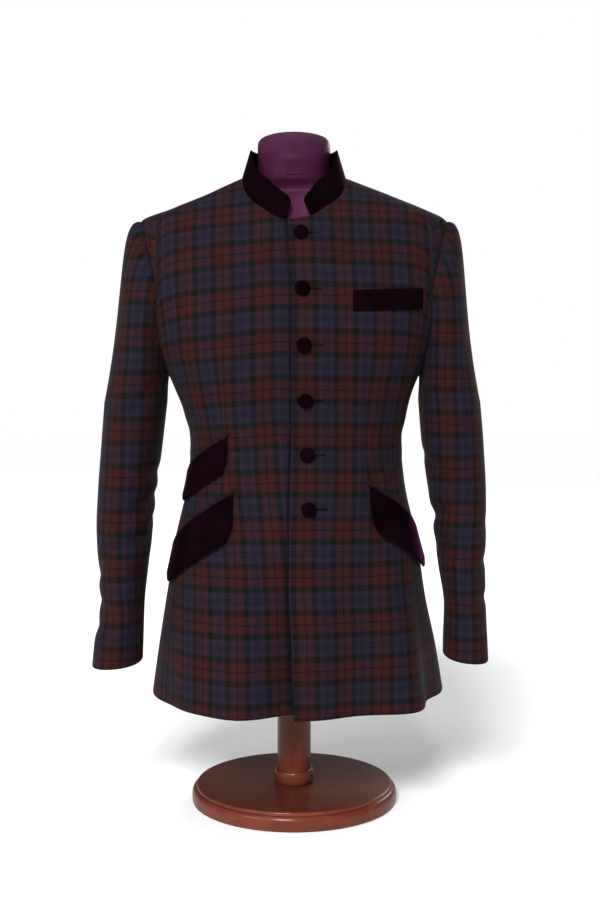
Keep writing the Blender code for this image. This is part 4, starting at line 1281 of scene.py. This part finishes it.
def sleeve_places(grid, turn, hand):
    """Cloth places on a sleeve: round it from its outermost line, and up along it."""
    height = grid[..., 2]
    girth, levels, turns = sleeve_girths(hand)
    round_it = read_table(girth, levels, turns, height, turn)
    top_line = sleeve_cap(np.zeros(80), np.linspace(1, 0, 80), hand)
    rise = lengths(top_line[:, None, ::2], 0)[:, 0]
    over_top = np.interp(height, top_line[:, 2], rise) - np.maximum(height - CAP_FOOT, 0)
    up = height + np.where(height > CAP_FOOT, over_top, 0.0) * np.clip(np.cos(turn), 0, 1) ** 2
    stray = read_lines(SLEEVE_DRIFT_LINES[hand], height)
    return joined(round_it - stray["round_it"], up + stray["down"])


def back_sleeve_seam(along):
    """Turn of the back seam, which lies lower round the sleeve at the head than at the cuff."""
    change = BACK_SLEEVE_SEAM_CUFF - BACK_SLEEVE_SEAM_TOP
    return BACK_SLEEVE_SEAM_TOP + change * ease(along, 0.2, 1.7)


def sewn_into_armhole(turn):
    """The row of points where a sleeve's head is tucked under the edge of the armhole."""
    seam = armhole(turn)
    outward = body_normal(seam)
    from_sleeve = unit(np.cross(outward, armhole(turn + 0.01) - armhole(turn - 0.01)))
    onto_panel = (seam - (0.0, 0.0, ARMHOLE_MIDDLE)) * (-1.0, 1.0, 1.0)
    from_sleeve *= np.sign((from_sleeve * onto_panel).sum(axis=1, keepdims=True))
    return seam - outward * TUCKED_UNDER + from_sleeve * TUCKED_IN


wool_sleeve = checked_wool("checked_wool_sleeves", 0.010, 0.0285)


def sleeve_part(node, hand, first, last, width):
    """One part of a sleeve between two seams, as cloth in the place of its solids."""
    across = shares_with_edges(np.linspace(0, 1, 60), width)
    head = [0, 0.0035, 0.0075, 0.013, *np.linspace(0, 1, 52)[1:] ** 1.15]
    arm = (1 + np.linspace(0, 1, 90))[1:-1]
    along = np.concatenate([head, arm, 2 - EDGE_STEPS[::-1] / ARM_LENGTH])
    turn = first(along)[:, None] + (last(along) - first(along))[:, None] * across[None]
    reach = np.broadcast_to(along[:, None], turn.shape)
    cuff = CUFF[hand] - CUFF_DROP_OUTSIDE * np.cos(turn)
    height = CAP_FOOT + (cuff - CAP_FOOT) * (reach - 1)
    below = sleeve_ring(turn, np.minimum(height, CAP_FOOT), hand)
    grid = np.where((reach > 1)[..., None], below, sleeve_cap(turn, np.minimum(reach, 1.0), hand))
    places = sleeve_places(grid, turn, hand)
    grid[0] = sewn_into_armhole(turn[0])
    grid = grid * (side_of(hand), 1.0, 1.0)
    normals = grid_normals(grid)
    pushed = np.zeros(grid.shape[:2])
    for at, level, *shape in SLEEVE_CREASES[hand]:
        round_it = np.radians((np.degrees(turn) - at + 180) % 360 - 180) * SLEEVE_RADIUS
        up = grid[..., 2] - level
        pushed += crease(round_it, up, *shape, SLEEVE_WAVER, SLEEVE_WAVES, at)
    grid = grid + normals * pushed[..., None]
    sunk = edge_roll(grid, bottom=0.0, first=SEAM_DROP, last=SEAM_DROP)
    # Painted shade: a dark band along the armhole seam.
    shade = bell(lengths(grid, 0), SEAM_SHADE)
    piece = cloth_piece(node + "_cloth", grid, places, CLOTH, normals, sunk, shade)
    dress(piece, wool_sleeve, "checked_wool", *([node, node + "_head"] if "top" in node else [node]))
    cut_sheet(piece, grid, places, "hung", hand + "_front", hand + "_back")


for hand in ("left", "right"):
    sleeve_part(
        hand + "_top_sleeve",
        hand,
        lambda along: back_sleeve_seam(along) - 2 * math.pi + SLEEVE_SEAM_GAP,
        lambda along: FRONT_SLEEVE_SEAM - SLEEVE_SEAM_GAP + 0 * along,
        TOP_SLEEVE_WIDTH,
    )
    sleeve_part(
        hand + "_under_sleeve",
        hand,
        lambda along: FRONT_SLEEVE_SEAM + SLEEVE_SEAM_GAP + 0 * along,
        lambda along: back_sleeve_seam(along) - SLEEVE_SEAM_GAP,
        UNDER_SLEEVE_WIDTH,
    )

# The collar: a stand of stiffened canvas covered in plum silk velvet, sewn to the neckline.
# Its ends lean apart at the front and are rounded off.

VELVET = 0.0030
COLLAR_HEIGHT = 0.0415
COLLAR_LENGTH = 0.44
COLLAR_STAND_OFF = 0.0008
COLLAR_LEAN = math.radians(17)
COLLAR_END_HEIGHT = 0.72
COLLAR_END_ROUND = 0.026
COLLAR_CORNER = 0.0075
COLLAR_RIGHT_END = -0.0125
COLLAR_LEFT_END = 0.0240
COLLAR_END_LEAN = 0.0085
COLLAR_TUCK = 0.0014
COLLAR_TUCKED_TO = 0.0030
COLLAR_START = 0.0004
NECK_AXIS_BEHIND = -0.008


def pile_velvet(name, dark, light, sheen):
    """Plum velvet whose short pile is brushed unevenly and shines where it turns away."""
    velvet = Finish(name)
    where = velvet.place()
    pile = velvet.noise(where, 1500.0, 2.0, 0.6)
    stroke = velvet.noise(where, 26.0, 3.0, 0.5)
    return velvet.surface(
        Base_Color=velvet.ramp(stroke, (0.32, dark), (0.75, light)),
        Roughness=0.88 + pile * 0.12,
        Specular_IOR_Level=0.02,
        Sheen_Weight=sheen,
        Sheen_Roughness=0.22,
        Sheen_Tint=(0.50, 0.045, 0.32, 1),
        Normal=velvet.bump(pile + stroke * 1.5, 0.00035, 0.6),
    )


plum_velvet = pile_velvet("plum_velvet_pile", (0.0012, 0.0003, 0.0007), (0.0040, 0.0008, 0.0021), 0.05)

half_neck = float(section(NECK_SIDE)["half_width"])
near_foot = np.array([0, 0.0005, 0.0012])
collar_rise = np.concatenate([near_foot, np.linspace(0.0022, 0.0393, 22), COLLAR_HEIGHT - near_foot[::-1]])
collar_rise = collar_rise / COLLAR_HEIGHT
near_end = np.array([0.0, 0.0008, 0.0020, 0.0040]) / COLLAR_LENGTH
collar_share = np.unique(np.concatenate([near_end, np.linspace(0, 1, 261), 1 - near_end]))
first_turn = np.arcsin((COLLAR_LEFT_END - COLLAR_END_LEAN * collar_rise) / half_neck)
last_turn = 2 * math.pi + np.arcsin((COLLAR_RIGHT_END + COLLAR_END_LEAN * collar_rise) / half_neck)
collar_turn = first_turn[:, None] + (last_turn - first_turn)[:, None] * collar_share[None]
from_end = np.minimum(collar_turn - first_turn[:, None], last_turn[:, None] - collar_turn) * half_neck
end_height = ease(from_end, -0.3 * COLLAR_END_ROUND, COLLAR_END_ROUND)
reach_up = COLLAR_HEIGHT * (COLLAR_END_HEIGHT + (1 - COLLAR_END_HEIGHT) * end_height)
corner = np.sqrt(np.clip(1 - (np.clip(COLLAR_CORNER - from_end, 0, None) / COLLAR_CORNER) ** 2, 0, 1))
reach_up = reach_up - COLLAR_CORNER * (1 - corner)
collar_up = reach_up * collar_rise[:, None]

foot_x = half_neck * np.sin(collar_turn)
in_front = (np.cos(collar_turn) > 0)[..., None]
collar_foot = np.where(in_front, neckline(foot_x, True), neckline(foot_x, False))
outward = unit(collar_foot * np.array([1.0, 1.0, 0.0]) - np.array([0.0, NECK_AXIS_BEHIND, 0.0]))
lift = lap_lift(foot_x) * (foot_x > COLLAR_RIGHT_END)
upright = np.array([0.0, 0.0, 1.0])
climb = upright * math.cos(COLLAR_LEAN) - outward * math.sin(COLLAR_LEAN)
facing = outward * math.cos(COLLAR_LEAN) + upright * math.sin(COLLAR_LEAN)
collar_grid = collar_foot + outward * (lift + COLLAR_STAND_OFF)[..., None] * 0.8
collar_grid = collar_grid + upright * (lift * 0.4)[..., None]
tucked = COLLAR_TUCK * np.clip(1 - collar_up / COLLAR_TUCKED_TO, 0, 1)
collar_grid = collar_grid + climb * (collar_up + COLLAR_START - tucked)[..., None]
collar_places = joined(collar_turn * half_neck, collar_up)
collar = cloth_piece("velvet_collar", collar_grid, collar_places, VELVET, facing, edge_roll(collar_grid))
dress(collar, plum_velvet, "plum_velvet", "collar")
neck_panels = ("left_front", "right_front", "left_back", "right_back")
cut_sheet(collar, collar_grid, collar_places, "stretched", *neck_panels)

# The pockets: two slanted hip flaps, a smaller ticket flap over the right one, and a straight
# breast welt, all of the collar's velvet. Above each flap lies a narrow jet of the wool.

ON_TOP = 0.0006
JET_WIDTH = 0.006
JET_THICKNESS = 0.0014
JET_PAST_FLAP = 0.003
# Width of the painted shade along the jets' edges.
PAINTED_JET_EDGE_SHADE = 0.0012
POCKET_STEP = 0.003
SLOPE_STEP = 0.002

# Flaps: hand, where the top corner nearest the middle lies, slope in degrees, length, drop,
# corner's radius, and how far the lower edge stands off. The welt's row ends at its drop.
FLAPS = {
    "ticket_flap": ("right", -0.094, 0.5560, 28.0, 0.118, 0.050, 0.018, 0.0030),
    "right_hip_flap": ("right", -0.085, 0.4765, 30.0, 0.165, 0.064, 0.024, 0.0040),
    "left_hip_flap": ("left", 0.1070, 0.4860, 28.0, 0.160, 0.062, 0.024, 0.0045),
}
WELT = ("left", 0.0820, 0.7625, -1.5, 0.104, 0.0285)


def on_outline(arc, height, hand):
    """A point of the folded body at an arc length from the centre front."""
    return np.array([*along_outline(arc, round(float(height), 4), hand), height])


def pocket_grid(hand, across, height, slope, length, drop, corner, lift, flare):
    """Outer points, cloth places and normals of a piece that lies on the body."""
    side = side_of(hand)
    start = float(front_arc(across, height, hand))
    runs = shares_with_edges(np.linspace(0, 1, max(int(length / POCKET_STEP), 8)), length) * length
    downs = shares_with_edges(np.linspace(0, 1, max(int(drop / POCKET_STEP), 3)), drop)
    into_corner = np.clip(corner - np.minimum(runs, length - runs), 0, None)
    cut = corner - np.sqrt(np.clip(corner**2 - into_corner**2, 0, None))
    grid = np.zeros((len(downs), len(runs), 3))
    normals = np.zeros_like(grid)
    for (c, run), (r, down) in itertools.product(enumerate(runs), enumerate(downs)):
        z = height - run * math.sin(slope) - down * (drop - cut[c])
        arc = start + side * run * math.cos(slope)
        here = on_outline(arc, z, hand)
        sideways = on_outline(arc + side * SLOPE_STEP, z, hand) - here
        upward = on_outline(arc, z + SLOPE_STEP, hand) - on_outline(arc, z - SLOPE_STEP, hand)
        normals[r, c] = unit(np.cross(sideways, upward) * side)
        grid[r, c] = here + normals[r, c] * (lift + flare * down**1.5)
    run_grid, down_grid = np.meshgrid(runs, downs)
    return grid, joined(run_grid, -down_grid * drop), normals


def pocket_piece(name, node, finish, slot, thickness, hand, *shape, flare=0.0, shade_width=None):
    """A flap, jet or welt in the place of its solid, sewn on the front of its hand."""
    grid, places, normals = pocket_grid(hand, *shape, ON_TOP + thickness, flare)
    # Painted shade: dark lines along the piece's top and bottom edges.
    shade = 0.0
    if shade_width:
        from_top = lengths(grid, 0)
        to_edge = np.minimum(from_top, from_top[-1:] - from_top)
        shade = 1.1 * bell(to_edge, shade_width)
    piece = cloth_piece(name, grid, places, thickness, normals, edge_roll(grid), shade)
    dress(piece, finish, slot, node)
    cut_sheet(piece, grid, places, "hung", hand + "_front")


# A lit copy of the collar's velvet for the flaps: a lighter base colour and a stronger sheen stand in for the
# brighter light on the flaps.
flap_velvet_painted_lighter = pile_velvet("plum_velvet_painted_lighter", (0.0016, 0.0003, 0.0008), (0.0052, 0.0008, 0.0028), 0.20)
jet_wool = checked_wool("checked_wool_jets", 0.004, -0.003)
for flap, (hand, across, height, slope, length, drop, corner, flare) in FLAPS.items():
    slope = math.radians(slope)
    shape = (hand, across, height, slope, length, drop, corner)
    pocket_piece(flap + "_velvet", flap, flap_velvet_painted_lighter, "plum_velvet", VELVET, *shape, flare=flare)
    across -= side_of(hand) * JET_PAST_FLAP
    height += JET_WIDTH + SEAM * 2 + JET_PAST_FLAP * math.tan(slope)
    shape = (hand, across, height, slope, length + 2 * JET_PAST_FLAP, JET_WIDTH, 0.0)
    jet = flap.replace("flap", "jet")
    pocket_piece(flap + "_jet_wool", jet, jet_wool, "checked_wool", JET_THICKNESS, *shape, shade_width=PAINTED_JET_EDGE_SHADE)

hand, across, height, slope, length, drop = WELT
shape = (hand, across, height, math.radians(slope), length, drop, 0.0)
pocket_piece("breast_welt_velvet", "breast_welt", plum_velvet, "plum_velvet", VELVET, *shape)

# The buttons: six domed shells covered in the velvet, each sewn on the right front and pushed
# through a worked buttonhole in the left one, whose purl stitches show beyond the button.

BUTTONS = 6
BUTTON_TOP = 0.841
BUTTON_PITCH = 0.077
BUTTON_ACROSS = 0.010
BUTTON_DRIFT = 0.0022
BUTTON_RADIUS = 0.0107
BUTTON_DEPTH = 0.0062

# Outline of a button's shell: shares of its radius and of its depth.
BUTTON_PROFILE = (
    (0.78, 0.00),
    (0.90, 0.05),
    (0.97, 0.18),
    (1.00, 0.34),
    (0.985, 0.50),
    (0.94, 0.64),
    (0.86, 0.76),
    (0.74, 0.86),
    (0.58, 0.93),
    (0.38, 0.98),
    (0.18, 1.00),
)

BUTTONHOLE_START = 0.004
BUTTONHOLE_REACH = 0.0265
STITCH_PITCH = 0.00075
STITCH_LENGTH = 0.0016
STITCH_THICKNESS = 0.00062
STITCH_LIFT = 0.0002
STITCH_STEPS = 6
STITCH_FROM = 0.15
FRAME_STEP = 0.003


def front_frame(across, height):
    """A point of the left front's outer face, with its outward, sideways and upward directions."""
    nearby = np.array([(0, 0), (FRAME_STEP, 0), (0, FRAME_STEP)]) + (across, height)
    here, beside, above = on_front_or_back(nearby[:, 0], nearby[:, 1], True)
    normal = unit(np.cross(beside - here, above - here))
    sideways = unit(beside - here)
    return here + normal * LAP_LIFT, normal, sideways, np.cross(normal, sideways)


def put_on_front(piece, across, height, lift):
    """Moves a piece's points from the origin onto the left front, with +Z outward."""
    foot, normal, sideways, upward = front_frame(across, height)
    points = np.array([v.co for v in piece.data.vertices])
    placed = foot + normal * lift + points @ np.stack([sideways, upward, normal])
    piece.data.vertices.foreach_set("co", placed.astype(np.float32).ravel())
    piece.data.update()


def buttonhole_twist(name):
    """Dark twisted silk thread."""
    thread = Finish(name)
    shine = thread.noise(thread.place(), 1200.0, 2.0)
    return thread.surface(
        Base_Color=thread.ramp(shine, (0.3, (0.0018, 0.0015, 0.0020)), (0.7, (0.0040, 0.0033, 0.0044))),
        Roughness=0.70 + shine * 0.2,
        Specular_IOR_Level=0.10,
        Normal=thread.bump(shine, 0.0001, 0.5),
    )


def stitch_ends(across, height, row):
    """Two rings of points, at the inner and the outer end of one purl stitch."""
    foot, normal, sideways, upward = front_frame(across, height)
    turn = np.linspace(0, 2 * math.pi, STITCH_STEPS, endpoint=False)[:, None]
    radius = STITCH_THICKNESS / 2
    ring = foot + sideways * np.cos(turn) * radius + normal * (np.sin(turn) * radius + STITCH_LIFT)
    return np.concatenate([ring + upward * row * STITCH_LENGTH * end for end in (STITCH_FROM, 1.0)])


button_profile = [(BUTTON_RADIUS * out, BUTTON_DEPTH * up) for out, up in BUTTON_PROFILE]
stitch_caps = [tuple(reversed(range(STITCH_STEPS))), tuple(range(STITCH_STEPS, 2 * STITCH_STEPS))]
one_stitch = tube_faces(2, STITCH_STEPS) + stitch_caps
stitches = []
for i in range(BUTTONS):
    across, height = BUTTON_ACROSS + BUTTON_DRIFT * i, BUTTON_TOP - BUTTON_PITCH * i
    button = turned_piece(f"velvet_button_{i + 1}", button_profile, 48)
    put_on_front(button, across, height, ON_TOP)
    dress(button, plum_velvet, "plum_velvet", f"button_{i + 1}")
    for k in range(int((BUTTONHOLE_REACH - BUTTONHOLE_START) / STITCH_PITCH)):
        for row in (-1, 1):
            stitches.append(stitch_ends(across + BUTTONHOLE_START + k * STITCH_PITCH, height, row))
stitch_faces = []
for k in range(len(stitches)):
    stitch_faces += [tuple(k * 2 * STITCH_STEPS + corner for corner in face) for face in one_stitch]
buttonholes = mesh_piece("buttonhole_stitches", np.concatenate(stitches), stitch_faces)
dress(buttonholes, buttonhole_twist("dark_buttonhole_twist"), "checked_wool")

# The room: a white paper floor that fades into a white sky, a large soft light high on the
# viewer's left, one overhead, a weaker one on the right and one behind.

FLOOR_SIZE = 60
FLOOR_FADES_FROM = 2.5
FLOOR_FADES_TO = 7.0

deselect_all()
bpy.ops.mesh.primitive_plane_add(size=FLOOR_SIZE, location=(0, 0, 0))
floor = bpy.context.active_object
floor.name = "white_floor"
paper = Finish("white_paper")
from_middle = paper.node("ShaderNodeVectorMath", {"operation": "LENGTH"}, [paper.place()], output=1)
faded = paper.node(
    "ShaderNodeMapRange",
    {"interpolation_type": "SMOOTHSTEP"},
    {"Value": from_middle, "From Min": FLOOR_FADES_FROM, "From Max": FLOOR_FADES_TO},
)
sheet = paper.node(
    "ShaderNodeBsdfPrincipled",
    None,
    {"Base Color": (0.94, 0.94, 0.945, 1), "Roughness": 0.8, "Specular IOR Level": 0.1},
)
glow = paper.node("ShaderNodeEmission", None, {"Color": (1, 1, 1, 1), "Strength": 1.0})
floor_surface = paper.node("ShaderNodeMixShader", None, [faded, sheet, glow])
paper.node("ShaderNodeOutputMaterial", None, {"Surface": floor_surface})
floor.data.materials.append(paper.material)

SKY_LIGHT = 0.15
world = bpy.data.worlds.new("white_sky")
bpy.context.scene.world = world
world.use_nodes = True
sky = world.node_tree.nodes["Background"]
sky.inputs["Color"].default_value = (1.0, 1.0, 1.0, 1)
seen = world.node_tree.nodes.new("ShaderNodeLightPath")
level = world.node_tree.nodes.new("ShaderNodeMath")
level.operation = "MAXIMUM"
level.inputs[1].default_value = SKY_LIGHT
world.node_tree.links.new(seen.outputs["Is Camera Ray"], level.inputs[0])
world.node_tree.links.new(level.outputs[0], sky.inputs["Strength"])


def aimed(lamp, place, aim):
    """Puts a lamp in its place and turns it towards a point."""
    light = bpy.data.objects.new(lamp.name, lamp)
    bpy.context.scene.collection.objects.link(light)
    light.location = place
    direction = np.array(place) - np.array(aim)
    tilt = math.atan2(math.hypot(direction[0], direction[1]), direction[2])
    light.rotation_euler = (tilt, 0, math.atan2(direction[0], -direction[1]))


def far_light(name, place, strength, softness):
    """A light so far away that it is even over the whole floor."""
    lamp = bpy.data.lights.new(name, "SUN")
    lamp.energy, lamp.angle = strength, math.radians(softness)
    aimed(lamp, place, (0, 0, 0))


def soft_light(name, place, aim, size, power):
    """A round soft light of a given size close by."""
    lamp = bpy.data.lights.new(name, "AREA")
    lamp.shape, lamp.size, lamp.energy = "DISK", size, power
    aimed(lamp, place, aim)


far_light("key", (-0.62, -2.6, 2.1), 3.8, 20)
far_light("overhead", (-0.4, 0.1, 3.0), 0.50, 50)
soft_light("side", (-2.3, -1.9, 1.6), (0, 0, 0.75), 1.2, 28)
soft_light("fill", (2.4, -2.2, 1.3), (0, 0, 0.6), 1.6, 3)
soft_light("behind", (1.4, 2.8, 2.0), (0, 0, 0.6), 1.6, 45)

CAMERA_PLACE = (0.0088, -2.25, 0.749)
CAMERA_TILT = math.radians(5.6)
CAMERA_LENS = 61.2
camera = bpy.data.objects.new("camera", bpy.data.cameras.new("camera"))
bpy.context.scene.collection.objects.link(camera)
camera.location = CAMERA_PLACE
camera.rotation_euler = (math.pi / 2 - CAMERA_TILT, 0, 0)
camera.data.lens = CAMERA_LENS
camera.data.sensor_fit = "VERTICAL"
camera.data.sensor_height = 36.0
bpy.context.scene.camera = camera
bpy.context.scene.view_settings.view_transform = "Standard"
